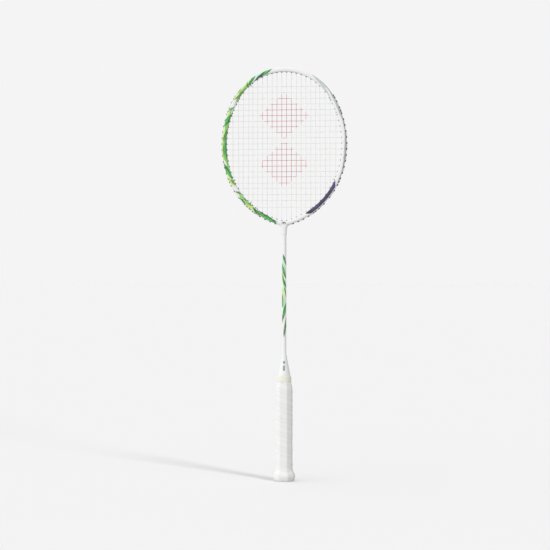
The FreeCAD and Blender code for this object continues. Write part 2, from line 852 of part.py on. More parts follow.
def throat():
    """Saddle glued under the frame's tip, drawn in to a neck, with a peg inside the shaft."""
    top = number_of("overall_length") - number_of("head_length") + HALF_TUBE
    foot = number_of("shaft_top") + number_of("glue_gap")
    half_neck = number_of("throat_neck") / 2
    half_saddle = number_of("throat_width") / 2
    waist = foot + (top - foot) * THROAT_WAIST
    crest = ARCS[-1].at(ARCS[-1].start, -HALF_TUBE).z
    bulge = Vector(half_saddle * THROAT_BULGE, 0, waist + (top - waist) * THROAT_BULGE)
    ear = Vector(half_saddle, 0, top + THROAT_EAR)
    flank = Part.Arc(Vector(half_neck, 0, waist), bulge, ear).toShape()
    mirrored = flank.mirror(Vector(0, 0, 0), Vector(1, 0, 0))
    right = [flank.Vertexes[0].Point, flank.Vertexes[-1].Point]
    shoulder = half_saddle * THROAT_SHOULDER
    corners = [
        right[1], Vector(shoulder, 0, crest), Vector(-shoulder, 0, crest),
        Vector(-right[1].x, 0, right[1].z),
    ]
    edges = [flank]
    edges += [Part.makeLine(a, b) for a, b in zip(corners, corners[1:])]
    edges.append(mirrored)
    low = [
        Vector(-right[0].x, 0, right[0].z), Vector(-half_neck, 0, foot),
        Vector(half_neck, 0, foot), right[0],
    ]
    edges += [Part.makeLine(a, b) for a, b in zip(low, low[1:])]
    face = Part.Face(Part.Wire(Part.__sortEdges__(edges)))
    depth = number_of("throat_depth")
    slab = face.extrude(Vector(0, depth, 0))
    slab.translate(Vector(0, -depth / 2, 0))
    flare = (half_saddle - half_neck) / ((top - foot) * THROAT_SHOULDER)
    cone_height = (top - foot) * THROAT_CONE
    neck = Part.makeCone(half_neck, half_neck + flare * cone_height, cone_height, Vector(0, 0, foot))
    shaped = slab.common(neck)
    tunnel = channel(0, HALF_TUBE + number_of("channel_depth"), ARCS[2:])
    saddle = shaped.cut(tube_outside(number_of("glue_gap") / 2)).cut(tunnel)
    lowest = min(saddle.Solids, key=lambda solid: solid.BoundBox.ZMin)
    spigot_radius = number_of("shaft_bore") / 2 - number_of("glue_gap")
    spigot_length = number_of("spigot_length")
    spigot = Part.makeCylinder(spigot_radius, spigot_length + 2, Vector(0, 0, foot - spigot_length))
    return lowest.fuse(spigot).removeSplitter()


add_shape("throat_joint", throat())

# ---------------------------------------------------------------- check and write

NODES = [
    "frame_hoop", "throat_joint", "shaft", "cone_cap", "handle_core", "butt_cap", "grip_tape",
    "finishing_tape", "grip_staple", "main_string", "cross_string", "string_knots",
] + sorted(groups)

doc.recompute()
for item in doc.Objects:
    if "Invalid" in item.State or "Error" in item.State:
        raise RuntimeError("%s failed: %s" % (item.Label, item.State))
for label in NODES:
    shape = doc.getObjectsByLabel(label)[0].Shape
    if shape.isNull() or not shape.isValid() or not shape.Solids:
        raise RuntimeError(label + " has no sound solid")
    shape.exportStep("parts/%s.step" % label)
    box = shape.BoundBox
    spans = [round(value, 1) for value in (box.XMin, box.XMax, box.YMin, box.YMax, box.ZMin, box.ZMax)]
    print(label, len(shape.Solids), "solids", round(shape.Volume, 1), "mm3", spans)
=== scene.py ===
"""The looks of a badminton racket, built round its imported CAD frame."""
import math

import bpy
import numpy as np
from mathutils import Matrix, Vector


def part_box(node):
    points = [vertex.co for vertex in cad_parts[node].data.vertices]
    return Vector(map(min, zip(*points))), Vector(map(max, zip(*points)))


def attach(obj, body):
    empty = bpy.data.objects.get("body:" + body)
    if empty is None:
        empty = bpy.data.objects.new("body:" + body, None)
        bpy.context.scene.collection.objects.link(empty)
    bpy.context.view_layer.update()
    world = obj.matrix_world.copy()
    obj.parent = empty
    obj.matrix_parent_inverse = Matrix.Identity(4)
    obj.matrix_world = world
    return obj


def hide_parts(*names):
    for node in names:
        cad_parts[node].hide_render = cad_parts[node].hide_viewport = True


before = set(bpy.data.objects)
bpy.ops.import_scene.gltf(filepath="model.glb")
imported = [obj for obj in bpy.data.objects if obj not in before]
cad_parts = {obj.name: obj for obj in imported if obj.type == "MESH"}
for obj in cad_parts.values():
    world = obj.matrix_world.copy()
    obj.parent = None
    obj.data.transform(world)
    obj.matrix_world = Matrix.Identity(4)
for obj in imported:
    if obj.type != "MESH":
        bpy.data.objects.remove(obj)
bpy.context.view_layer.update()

MM = 0.001

# ---------------------------------------------------------------- sizes

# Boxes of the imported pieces; the sizes that a box can't hold follow as the part's own.
hoop_low, hoop_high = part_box("frame_hoop")
shaft_low, shaft_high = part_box("shaft")
cone_low, cone_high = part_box("cone_cap")
band_low, band_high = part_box("finishing_tape")
grip_low, grip_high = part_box("grip_tape")
cap_low, cap_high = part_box("butt_cap")

TUBE_WIDTH = 7.0 * MM
HALF_TUBE = TUBE_WIDTH / 2
HALF_DEPTH = hoop_high.y
TUBE_ROUND = 2.6 * MM
GROOVE_HALF = 2.2 * MM
GROOVE_DEPTH = 1.5 * MM
HEAD_TOP = hoop_high.z
HEAD_TIP = hoop_low.z
HEAD_HALF = hoop_high.x
TIP_RADIUS = 26.0 * MM
ARC_TURNS = [math.radians(turn) for turn in (58.0, 48.0, 58.5)]

STRING_RADIUS = 0.34 * MM
GROMMET_REACH = 1.0 * MM
FLANGE_SIZE = 3.8 * MM
FLANGE_THICKNESS = 0.35 * MM
STRING_LIFT = 0.3 * MM
GLUE_GAP = 0.05 * MM
MOUTH = -HALF_TUBE - GROMMET_REACH
RUN_LIFT = FLANGE_THICKNESS + STRING_RADIUS + STRING_LIFT

PAIRS = 11
CROSSES = 22
MAIN_SPAN = 0.891
MAIN_END_GAP = 1.18
CROSS_END_GAP = 1.13
CROSS_LAST_GAP = 1.06 * CROSS_END_GAP
CROSS_TOP_MARGIN = 23.0 * MM
CROSS_BOTTOM_MARGIN = 22.3 * MM

HANDLE_HALF_X = 11.8 * MM
HANDLE_HALF_Y = 10.55 * MM
HANDLE_BEVEL = 6.2 * MM
GRIP_THICKNESS = 1.7 * MM
WRAP_PITCH = 23.6 * MM

# ---------------------------------------------------------------- the frame's outline


class TubeArc:
    """One arc of the right half of the head's centreline; a heading of 0 points outwards to +Z."""

    def __init__(self, centre, radius, start, end):
        self.centre = centre
        self.radius = radius
        self.start = start
        self.end = end
        self.length = radius * (end - start)

    def at(self, heading, outward=0.0):
        reach = self.radius + outward
        return self.centre + Vector((math.sin(heading), 0, math.cos(heading))) * reach


def frame_outline():
    """Four tangent arcs whose radii give the head its width and length."""
    half = HEAD_HALF - HALF_TUBE
    drop = HEAD_TOP - HEAD_TIP - TUBE_WIDTH
    headings = [0.0]
    for turn in ARC_TURNS:
        headings.append(headings[-1] + turn)
    headings.append(math.pi)
    sine = [math.sin(heading) for heading in headings]
    cosine = [math.cos(heading) for heading in headings]
    rows = [
        (sine[1], 1 - sine[1], 0),
        (0, 1 - sine[2], sine[2] - sine[3]),
        (1 - cosine[1], cosine[1] - cosine[2], cosine[2] - cosine[3]),
    ]
    right = [half, half - TIP_RADIUS * sine[3], drop - TIP_RADIUS * (cosine[3] + 1)]
    radii = [float(radius) for radius in np.linalg.solve(rows, right)] + [TIP_RADIUS]
    point = Vector((0, 0, HEAD_TOP - HALF_TUBE))
    arcs = []
    for radius, start, end in zip(radii, headings, headings[1:]):
        centre = point - Vector((math.sin(start), 0, math.cos(start))) * radius
        arcs.append(TubeArc(centre, radius, start, end))
        point = arcs[-1].at(end)
    return arcs


ARCS = frame_outline()

# ---------------------------------------------------------------- string places and holes


class Hole:
    """A grommet hole on the right half, square to the tube; a side of -1 mirrors it to the left."""

    def __init__(self, along, users):
        self.along = along
        self.users = users
        passed = 0.0
        for arc in ARCS:
            if along <= passed + arc.length:
                break
            passed += arc.length
        self.arc = arc
        self.heading = arc.start + (along - passed) / arc.radius
        self.floor = HALF_TUBE - GROOVE_DEPTH if arc is ARCS[0] else HALF_TUBE

    def at(self, outward, side, lift=0.0):
        point = self.arc.at(self.heading, outward)
        return Vector((point.x * side, lift, point.z))

    def outside(self, side, lift):
        return self.at(self.floor + RUN_LIFT, side, lift)


def main_places():
    outermost = (HEAD_HALF - TUBE_WIDTH) * MAIN_SPAN
    pitch = outermost / (PAIRS - 1.5 + MAIN_END_GAP)
    return [pitch * (index + 0.5) for index in range(PAIRS - 1)] + [outermost]


def cross_places():
    first = HEAD_TOP - TUBE_WIDTH - CROSS_TOP_MARGIN
    last = HEAD_TIP + TUBE_WIDTH + CROSS_BOTTOM_MARGIN
    shares = [CROSS_END_GAP] * 2 + [1.0] * (CROSSES - 5) + [CROSS_END_GAP, CROSS_LAST_GAP]
    places = [first]
    for share in shares:
        places.append(places[-1] - share * (first - last) / sum(shares))
    return places


def crossings(kind, place):
    """Distances along the tube where a string line meets the inner mouths of the grommets."""
    found = []
    passed = 0.0
    for arc in ARCS:
        middle = arc.centre.x if kind == "main" else arc.centre.z
        share = (place - middle) / (arc.radius + MOUTH)
        if abs(share) <= 1:
            turns = [math.acos(share)]
            if kind == "main":
                turns = [math.asin(share), math.pi - math.asin(share)]
            turns = [turn for turn in turns if arc.start <= turn < arc.end]
            found += [passed + arc.radius * (turn - arc.start) for turn in turns]
        passed += arc.length
    return found


def all_holes():
    """Every hole of the right half from the top down; near neighbours share one hole."""
    wanted = []
    for index, place in enumerate(main_places()):
        for end, along in zip(("top", "bottom"), crossings("main", place)):
            wanted.append((along, ("main", index, end)))
    for index, place in enumerate(cross_places()):
        for along in crossings("cross", place):
            wanted.append((along, ("cross", index, "side")))
    wanted.sort()
    holes = []
    for along, user in wanted:
        if holes and along - holes[-1].along < FLANGE_SIZE + GLUE_GAP:
            shared = holes.pop()
            holes.append(Hole((shared.along + along) / 2, shared.users + [user]))
        else:
            holes.append(Hole(along, [user]))
    return holes


HOLES = all_holes()


def hole_for(kind, index, end):
    return next(hole for hole in HOLES if (kind, index, end) in hole.users)


def tie_hole(end_hole, direction):
    """Extra hole for a tie-off knot, midway in the first gap along the tube with room for its flange."""
    index = HOLES.index(end_hole)
    while abs(HOLES[index + direction].along - HOLES[index].along) < 2 * (FLANGE_SIZE + GLUE_GAP):
        index += direction
    return Hole((HOLES[index + direction].along + HOLES[index].along) / 2, [])


MAIN_TIE = tie_hole(hole_for("main", PAIRS - 1, "bottom"), 1)
CROSS_TOP_TIE = tie_hole(hole_for("cross", 0, "side"), -1)
CROSS_LOW_TIE = tie_hole(hole_for("cross", CROSSES - 1, "side"), -1)
TIES = [(MAIN_TIE, -1), (MAIN_TIE, 1), (CROSS_TOP_TIE, -1), (CROSS_LOW_TIE, -1)]
GROMMET_PLACES = [(hole, side) for hole in HOLES for side in (-1, 1)] + TIES

# ---------------------------------------------------------------- material helpers


class Finish:
    """A procedural material with one Principled shader and short names for the nodes it needs."""

    def __init__(self, name, roughness=0.4, **shader):
        self.material = bpy.data.materials.new(name)
        self.material.use_nodes = True
        self.tree = self.material.node_tree
        self.tree.nodes.clear()
        self.shader = self.tree.nodes.new("ShaderNodeBsdfPrincipled")
        output = self.tree.nodes.new("ShaderNodeOutputMaterial")
        self.tree.links.new(self.shader.outputs["BSDF"], output.inputs["Surface"])
        self.shader.inputs["Roughness"].default_value = roughness
        for key, value in shader.items():
            self.shader.inputs[key.replace("_", " ")].default_value = value

    def feed(self, socket, value):
        if isinstance(value, bpy.types.NodeSocket):
            self.tree.links.new(value, socket)
        elif isinstance(value, tuple) and len(value) == 3 and socket.type == "RGBA":
            socket.default_value = (*value, 1.0)
        else:
            socket.default_value = value

    def node(self, kind, inputs=(), **settings):
        made = self.tree.nodes.new("ShaderNode" + kind)
        for key, value in settings.items():
            setattr(made, key, value)
        for key, value in dict(inputs).items():
            self.feed(made.inputs[key], value)
        return made

    def math(self, operation, *values):
        made = self.node("Math", operation=operation)
        for socket, value in zip(made.inputs, values):
            self.feed(socket, value)
        return made.outputs[0]

    def blend(self, factor, first, second):
        made = self.node("Mix", data_type="RGBA")
        self.feed(made.inputs[0], factor)
        self.feed(made.inputs[6], first)
        self.feed(made.inputs[7], second)
        return made.outputs[2]

    def step(self, value, low, high):
        """0 at low, 1 at high, smooth between; low may be the larger."""
        made = self.node("MapRange", interpolation_type="SMOOTHSTEP", clamp=True)
        for key, number in zip((0, 1, 2, 3, 4), (value, low, high, 0.0, 1.0)):
            self.feed(made.inputs[key], number)
        return made.outputs[0]

    def noise(self, vector, scale, detail=2.0, roughness=0.5):
        inputs = {"Vector": vector, "Scale": scale, "Detail": detail, "Roughness": roughness}
        return self.node("TexNoise", inputs).outputs["Fac"]

    def object_vector(self):
        return self.node("TexCoord").outputs["Object"]

    def object_axes(self):
        """Object coordinates as a vector and its three parts."""
        vector = self.object_vector()
        parts = self.node("SeparateXYZ", {"Vector": vector}).outputs
        return vector, parts[0], parts[1], parts[2]

    def stretch(self, vector, scale):
        made = self.node("Mapping", {"Vector": vector})
        made.inputs["Scale"].default_value = scale
        return made.outputs[0]

    def bump(self, height, strength, distance):
        made = self.node("Bump", {"Height": height, "Strength": strength, "Distance": distance})
        self.tree.links.new(made.outputs[0], self.shader.inputs["Normal"])

    def colour(self, value):
        self.feed(self.shader.inputs["Base Color"], value)


def srgb(red, green, blue):
    """A colour as mixed on a swatch card, 0 to 255, to the linear values that shaders take."""
    def linear(part):
        part /= 255
        return part / 12.92 if part <= 0.04045 else ((part + 0.055) / 1.055) ** 2.4
    return (linear(red), linear(green), linear(blue))


WHITE_LACQUER = srgb(240, 241, 240)
BAR_INK = srgb(66, 104, 98)
PAINTS = {
    "deep": srgb(0, 110, 28),
    "teal": srgb(8, 92, 62),
    "leaf": srgb(48, 164, 44),
    "bright": srgb(56, 208, 72),
    "lime": srgb(132, 206, 74),
    "olive": srgb(98, 138, 48),
    "yellow": srgb(196, 220, 98),
    "pale": srgb(214, 236, 176),
    "mint": srgb(176, 236, 190),
    "moss": srgb(112, 178, 116),
    "orange": srgb(206, 142, 84),
    "grey": srgb(190, 202, 198),
    # shade: painted shade, for the outer edge of the head's right side, which faces away from the light
    "shade": srgb(176, 180, 180),
}


# Dry-brush strokes: how pointed the ends are, how far the middle swells past the width, how far the
# edge frays, and how thin the paint gets in the dry streaks.
STROKE_POINT = 1.5
STROKE_SWELL = 1.25
STROKE_FRAY = 1.1
STROKE_DRY = 0.55


def stroke_group():
    """One dry-brush stroke between two ends: mask of 1 inside, frayed along its length."""
    group = bpy.data.node_groups.new("dry_brush_stroke", "ShaderNodeTree")
    for name in ("Along", "Across", "Start along", "Start across", "End along", "End across", "Width"):
        group.interface.new_socket(name, in_out="INPUT", socket_type="NodeSocketFloat")
    group.interface.new_socket("Mask", in_out="OUTPUT", socket_type="NodeSocketFloat")
    source = group.nodes.new("NodeGroupInput").outputs

    def math_node(operation, *values):
        made = group.nodes.new("ShaderNodeMath")
        made.operation = operation
        for socket, value in zip(made.inputs, values):
            if isinstance(value, bpy.types.NodeSocket):
                group.links.new(value, socket)
            else:
                socket.default_value = value
        return made.outputs[0]

    def plus(first, second):
        return math_node("ADD", first, second)

    def minus(first, second):
        return math_node("SUBTRACT", first, second)

    def times(first, second):
        return math_node("MULTIPLY", first, second)

    def share(offset, size):
        return math_node("ABSOLUTE", math_node("DIVIDE", times(offset, 2.0), size))

    def ramp(value, low, high, first, last, **settings):
        made = group.nodes.new("ShaderNodeMapRange")
        for key, setting in settings.items():
            setattr(made, key, setting)
        group.links.new(value, made.inputs[0])
        for index, number in enumerate((low, high, first, last), start=1):
            made.inputs[index].default_value = number
        return made.outputs[0]

    run = minus(source["End along"], source["Start along"])
    rise = minus(source["End across"], source["Start across"])
    length = math_node("SQRT", plus(times(run, run), times(rise, rise)))
    middle_along = times(plus(source["Start along"], source["End along"]), 0.5)
    middle_across = times(plus(source["Start across"], source["End across"]), 0.5)
    off_along = minus(source["Along"], middle_along)
    off_across = minus(source["Across"], middle_across)
    down = math_node("DIVIDE", plus(times(off_along, run), times(off_across, rise)), length)
    over = math_node("DIVIDE", minus(times(off_across, run), times(off_along, rise)), length)
    share_over = math_node("DIVIDE", share(over, source["Width"]), STROKE_SWELL)
    body = plus(math_node("POWER", share(down, length), STROKE_POINT),
                math_node("POWER", share_over, STROKE_POINT))
    streaks = group.nodes.new("ShaderNodeCombineXYZ")
    for index, (distance, scale) in enumerate(((down, 90.0), (over, 1500.0), (middle_along, 40.0))):
        group.links.new(times(distance, scale), streaks.inputs[index])
    bristles = group.nodes.new("ShaderNodeTexNoise")
    bristles.inputs["Scale"].default_value = 1.0
    bristles.inputs["Detail"].default_value = 1.5
    group.links.new(streaks.outputs[0], bristles.inputs["Vector"])
    fray = times(minus(bristles.outputs["Fac"], 0.5), STROKE_FRAY)
    edge = ramp(plus(body, fray), 1.1, 0.9, 0.0, 1.0, interpolation_type="SMOOTHSTEP")
    dry = ramp(bristles.outputs["Fac"], 0.62, 0.5, STROKE_DRY, 1.0)
    output = group.nodes.new("NodeGroupOutput")
    group.links.new(times(edge, dry), output.inputs["Mask"])
    return group


STROKE = stroke_group()


def brushed(finish, base, along, across, strokes):
    """Lay strokes (start along, across, end along, across, width, paint), in millimetres, over a base."""
    colour = base
    for start_along, start_across, end_along, end_across, width, paint in strokes:
        made = finish.node("Group", node_tree=STROKE)
        sizes = [size * MM for size in (start_along, start_across, end_along, end_across, width)]
        for socket, value in zip(made.inputs, [along, across] + sizes):
            finish.feed(socket, value)
        colour = finish.blend(made.outputs[0], colour, PAINTS[paint])
    return colour


# Strokes on the left of the head: distance from the top along the tube, then from the tube's middle
# line outwards.
HEAD_STROKES = [
    (30, 2.4, 62, 1.8, 2.6, "mint"), (52, 1.9, 104, 1.5, 4.4, "pale"),
    (60, -1.4, 100, -1.8, 3.4, "lime"), (112, 2.4, 166, 1.8, 4.4, "pale"),
    (116, -1.0, 160, -1.6, 3.8, "lime"), (154, 2.2, 206, 2.4, 4.2, "yellow"),
    (158, -1.4, 208, -1.6, 4.4, "moss"), (198, 1.8, 246, 1.2, 4.0, "pale"),
    (204, -1.6, 242, -1.8, 3.2, "lime"), (258, -1.0, 300, 0.4, 4.6, "lime"),
    (284, 1.8, 330, 0.8, 3.4, "pale"), (300, -1.2, 340, 0.6, 3.8, "leaf"),
    (17, 3.2, 43, -1.8, 3.8, "deep"), (22, 2.4, 36, -0.4, 1.6, "bright"),
    (31, 0.6, 54, -2.8, 2.6, "teal"), (38, -0.8, 41, -4.4, 1.5, "teal"),
    (45, 3.8, 64, -2.2, 2.7, "deep"), (51, 1.4, 68, -2.4, 2.6, "leaf"),
    (60, 3.6, 62.5, 2.8, 1.1, "orange"), (63, 2.6, 70, -3.0, 1.1, "deep"),
    (76, 3.4, 89, 2.0, 2.8, "deep"), (80, 0.6, 90, -2.2, 1.5, "leaf"),
    (69, -3.1, 93, -2.7, 2.2, "olive"), (84, -3.6, 99, 1.4, 2.0, "olive"),
    (88, 3.2, 91, 2.4, 1.0, "orange"), (109, -3.2, 122, 3.6, 2.5, "leaf"),
    (117, 2.2, 126, -1.8, 1.5, "yellow"), (121, -3.6, 148, 3.1, 4.2, "deep"),
    (127, -1.4, 143, 2.0, 1.7, "bright"), (146, -3.4, 168, 1.2, 2.2, "leaf"),
    (150, -3.4, 168, -1.0, 1.5, "olive"), (163, -2.4, 202, -2.2, 2.2, "leaf"),
    (172, 0.2, 196, 0.6, 1.4, "leaf"), (189, 1.4, 209, -2.8, 2.4, "lime"),
    (202, 3.4, 232, -2.2, 3.9, "deep"), (214, 1.2, 230, -1.6, 1.7, "bright"),
    (225, 3.2, 246, -1.4, 2.4, "yellow"), (234, 0.2, 246, -2.8, 2.1, "olive"),
    (229, 3.8, 232, 3.0, 1.0, "orange"), (254, 1.6, 264, -3.4, 2.2, "olive"),
    (265, 3.4, 279, 1.6, 3.2, "deep"), (271, -0.6, 279, -3.8, 2.2, "olive"),
    (279, 2.8, 297, -1.9, 3.0, "yellow"), (282, -0.6, 292, -3.8, 2.2, "olive"),
    (293, -1.6, 313, 3.2, 2.9, "deep"), (289, 3.8, 292, 3.0, 1.0, "orange"),
    (303, -2.3, 322, -2.8, 1.8, "teal"), (313, -2.2, 340, 2.1, 3.4, "deep"),
    (318, -0.6, 334, 1.4, 1.3, "bright"),
]
# Strokes on the right of the head, in the same columns as HEAD_STROKES: faint grey marks, and 'shade'
# strokes that are painted shade along the outer edge.
GREY_STROKES_AND_PAINTED_SHADE = [
    (46, 2.6, 78, 0.8, 3.2, "grey"), (62, -0.4, 98, -1.6, 1.5, "grey"),
    (56, 3.6, 160, 3.5, 4.4, "shade"), (120, 3.5, 246, 3.6, 4.6, "shade"),
    (92, 1.4, 128, 0.6, 1.3, "grey"),
]


def lacquer(name):
    """Gloss lacquer under a thin clear coat; its colour and orange peel come from peel."""
    return Finish(name, roughness=0.28, Coat_Weight=0.2, Coat_Roughness=0.1, Specular_IOR_Level=0.4)


def peel(finish, vector, colour):
    """Orange peel, and the faint cloudiness that hand-sprayed white has."""
    cloud = finish.noise(vector, 60.0, 3.0)
    finish.colour(finish.blend(finish.math("MULTIPLY", cloud, 0.05), colour, srgb(198, 202, 200)))
    grain = finish.noise(vector, 900.0, 2.0)
    finish.bump(grain, 0.06, 0.0002)


def carbon_weave(finish, along, across):
    """Dark violet laminate: small checks painted lit and shaded in turn as the weave's painted sheen, patchy
    violet tint.
    """
    def checks(size):
        column = finish.math("SINE", finish.math("MULTIPLY", along, 2 * math.pi / size))
        row = finish.math("SINE", finish.math("MULTIPLY", across, 2 * math.pi / size))
        return finish.step(finish.math("MULTIPLY", column, row), -0.25, 0.25)
    place = finish.node("CombineXYZ", {"X": along, "Y": across}).outputs[0]
    patch = finish.step(finish.noise(place, 55.0, 2.0), 0.4, 0.62)
    # A shaded and a lit copy of the same violet; the checks that mix them follow the weave, and their light
    # and dark is painted sheen.
    dark = finish.blend(patch, srgb(32, 28, 44), srgb(56, 46, 108))
    light = finish.blend(patch, srgb(70, 66, 84), srgb(96, 86, 158))
    return finish.blend(finish.math("MULTIPLY", checks(2.1 * MM), 0.55), dark, light)


def wrap_axes(finish):
    parts = finish.node("SeparateXYZ", {"Vector": finish.node("UVMap", uv_map="wrap").outputs[0]}).outputs
    return parts[0], parts[1]


def painted_side(name, start, end):
    """White lacquer with the brush strokes that lie between two distances along the left side."""
    finish = lacquer(name)
    along, across = wrap_axes(finish)
    strokes = [stroke for stroke in HEAD_STROKES if start <= (stroke[0] + stroke[2]) / 2 < end]
    colour = brushed(finish, WHITE_LACQUER, finish.math("MULTIPLY", along, -1.0), across, strokes)
    vector = finish.object_vector()
    peel(finish, vector, colour)
    return finish.material


def violet_band(finish, along, across):
    """Mask of a band low on the right that runs out to a point at both ends."""
    def taper(place, slope):
        """0 at a place along the tube, in millimetres, and rising or falling past it."""
        return finish.math("MULTIPLY", finish.math("SUBTRACT", along, place * MM), slope)

    outer = finish.math("MINIMUM", taper(230, 0.35), taper(318, -0.4))
    outer = finish.math("MINIMUM", finish.math("SUBTRACT", outer, 3.6 * MM), 1.9 * MM)
    inner = finish.math("SUBTRACT", finish.math("MAXIMUM", taper(252, -0.25), taper(298, 0.3)), 5.4 * MM)
    ends = finish.math("MINIMUM", taper(233, 1.0), taper(315, -1.0))
    band = finish.step(ends, 0.0, 0.4 * MM)
    for edge in (finish.math("SUBTRACT", outer, across), finish.math("SUBTRACT", across, inner)):
        band = finish.math("MULTIPLY", band, finish.step(edge, -0.1 * MM, 0.1 * MM))
    return band


def plain_side(name):
    """White lacquer with faint grey strokes and painted shade on the right, a dark violet band and bars at
    the throat.
    """
    finish = lacquer(name)
    along, across = wrap_axes(finish)
    # Faint grey strokes, and painted shade along the outer edge.
    colour = brushed(finish, WHITE_LACQUER, along, across, GREY_STROKES_AND_PAINTED_SHADE)
    weave = carbon_weave(finish, along, across)
    colour = finish.blend(violet_band(finish, along, across), colour, weave)
    vector, x, _, z = finish.object_axes()
    colour = finish.blend(throat_bars(finish, x, z), colour, BAR_INK)
    peel(finish, vector, colour)
    return finish.material


# Where one finish of the left side ends and the next begins: white gaps between groups of strokes.
PAINT_ENDS = [105.0, 250.0, 341.5]


def paint_head(head):
    """Each stretch of the left side has a finish with its own strokes."""
    starts = [0.0] + PAINT_ENDS[:-1]
    for number, (start, end) in enumerate(zip(starts, PAINT_ENDS)):
        head.data.materials.append(painted_side("head_left_%d" % (number + 1), start, end))
    layer = head.data.uv_layers["wrap"].data
    for face in head.data.polygons:
        along = -sum(layer[loop].uv.x for loop in face.loop_indices) / face.loop_total / MM
        face.material_index = 0
        if 0 < along < PAINT_ENDS[-1]:
            face.material_index = 1 + sum(along > end for end in PAINT_ENDS[:-1])


def throat_bars(finish, x, z):
    """Mask of a few short slanted bars at the throat."""
    pitch = 3.6 * MM
    slanted = finish.math("SUBTRACT", x, finish.math("MULTIPLY", z, 0.5))
    wave = finish.math("PINGPONG", slanted, pitch / 2)
    bars = finish.step(wave, 0.35 * MM, 0.5 * MM)
    height = finish.math("ABSOLUTE", finish.math("SUBTRACT", z, HEAD_TIP + 4.0 * MM))
    inside = finish.math("MULTIPLY", finish.step(height, 1.7 * MM, 1.5 * MM),
                         finish.step(finish.math("ABSOLUTE", x), 3.5 * MM, 3.3 * MM))
    return finish.math("MULTIPLY", bars, inside)


# ---------------------------------------------------------------- mesh helpers


def start_piece():
    """Nothing selected and nothing in edit mode, before a primitive is added."""
    if bpy.context.object and bpy.context.object.mode != "OBJECT":
        bpy.ops.object.mode_set(mode="OBJECT")
    bpy.ops.object.select_all(action="DESELECT")


def keep_piece(piece, nodes, material, smooth=40.0):
    """Put the piece's place in its mesh, give it its finish, hang it under the root and hide the CAD nodes
    it stands for.
    """
    start_piece()
    piece.select_set(True)
    bpy.context.view_layer.objects.active = piece
    bpy.ops.object.transform_apply(location=True, rotation=True, scale=True)
    bpy.ops.object.shade_smooth_by_angle(angle=math.radians(smooth))
    piece.data.materials.clear()
    piece.data.materials.append(material)
    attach(piece, "root")
    if nodes:
        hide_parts(*nodes)
    return piece


def edit_all(piece):
    bpy.context.view_layer.objects.active = piece
    bpy.ops.object.mode_set(mode="EDIT")
    bpy.ops.mesh.select_mode(type="VERT")
    bpy.ops.mesh.select_all(action="SELECT")


def mapped_grid(name, across, along, place):
    """A grid primitive whose points are carried to their place on the piece."""
    start_piece()
    bpy.ops.mesh.primitive_grid_add(x_subdivisions=across, y_subdivisions=along, size=2)
    piece = bpy.context.object
    piece.name = name
    for vertex in piece.data.vertices:
        vertex.co = place((vertex.co.x + 1) / 2, (vertex.co.y + 1) / 2)
    return piece


def weld(piece, distance=0.01 * MM):
    edit_all(piece)
    bpy.ops.mesh.remove_doubles(threshold=distance)
    bpy.ops.mesh.normals_make_consistent(inside=False)
    bpy.ops.object.mode_set(mode="OBJECT")


def close_ends(piece):
    """Fill every open rim with a flat face."""
    edit_all(piece)
    bpy.ops.mesh.select_all(action="DESELECT")
    bpy.ops.mesh.select_mode(type="EDGE")
    bpy.ops.mesh.select_non_manifold()
    bpy.ops.mesh.edge_face_add()
    bpy.ops.mesh.select_all(action="SELECT")
    bpy.ops.mesh.normals_make_consistent(inside=False)
    bpy.ops.mesh.select_mode(type="VERT")
    bpy.ops.object.mode_set(mode="OBJECT")


# ---------------------------------------------------------------- head


def tube_section():
    """Points round the tube as (outwards, across the strings, distance round from the outer middle)."""
    flat = HALF_DEPTH - TUBE_ROUND
    steps = 6
    half = [(HALF_TUBE, 0.0), (HALF_TUBE, GROOVE_HALF / 2), (HALF_TUBE, GROOVE_HALF - 0.06 * MM)]
    half += [(HALF_TUBE, GROOVE_HALF), (HALF_TUBE, flat)]
    for index in range(1, steps + 1):
        turn = math.radians(90 * index / steps)
        out = HALF_TUBE - TUBE_ROUND + TUBE_ROUND * math.cos(turn)
        half.append((out, flat + TUBE_ROUND * math.sin(turn)))
    for index in range(0, steps + 1):
        turn = math.radians(90 + 90 * index / steps)
        out = TUBE_ROUND - HALF_TUBE + TUBE_ROUND * math.cos(turn)
        half.append((out, flat + TUBE_ROUND * math.sin(turn)))
    half += [(-HALF_TUBE, flat / 2), (-HALF_TUBE, 0.0)]
    marked = []
    distance = 0.0
    for index, point in enumerate(half):
        if index:
            distance += math.dist(point, half[index - 1])
        marked.append((point[0], point[1], distance))
    return marked + [(out, -over, distance) for out, over, distance in reversed(marked[1:-1])]


SECTION = tube_section()
SECTION_HALF = max(distance for _, _, distance in SECTION)
# Girth of the tube for each millimetre that paint spreads across it.
PAINT_SPREAD = 1.42


def place_on_tube(x, z):
    """Distance along the tube from the top and outwards from its middle line, for x of 0 or more."""
    passed = 0.0
    best = None
    for arc in ARCS:
        offset = Vector((x - arc.centre.x, 0, z - arc.centre.z))
        heading = math.atan2(offset.x, offset.z) % (2 * math.pi)
        inside = min(max(heading, arc.start), arc.end)
        miss = abs(heading - inside) * arc.radius + abs(offset.length - arc.radius)
        if best is None or miss < best[0] - 1e-7:
            best = (miss, passed + arc.radius * (inside - arc.start), offset.length - arc.radius)
        passed += arc.length
    return best[1], best[2]


def mark_wrap(piece):
    """UV map 'wrap': metres along the tube, positive to the right, and metres across its faces."""
    layer = piece.data.uv_layers.new(name="wrap")
    for face in piece.data.polygons:
        side = 1.0 if face.center.x >= 0 else -1.0
        for loop in face.loop_indices:
            point = piece.data.vertices[piece.data.loops[loop].vertex_index].co
            along, outward = place_on_tube(point.x * side, point.z)
            nearest = min(SECTION, key=lambda mark: math.dist(mark[:2], (outward, point.y)))
            distance = nearest[2]
            layer.data[loop].uv = (along * side, (SECTION_HALF / 2 - distance) / PAINT_SPREAD)


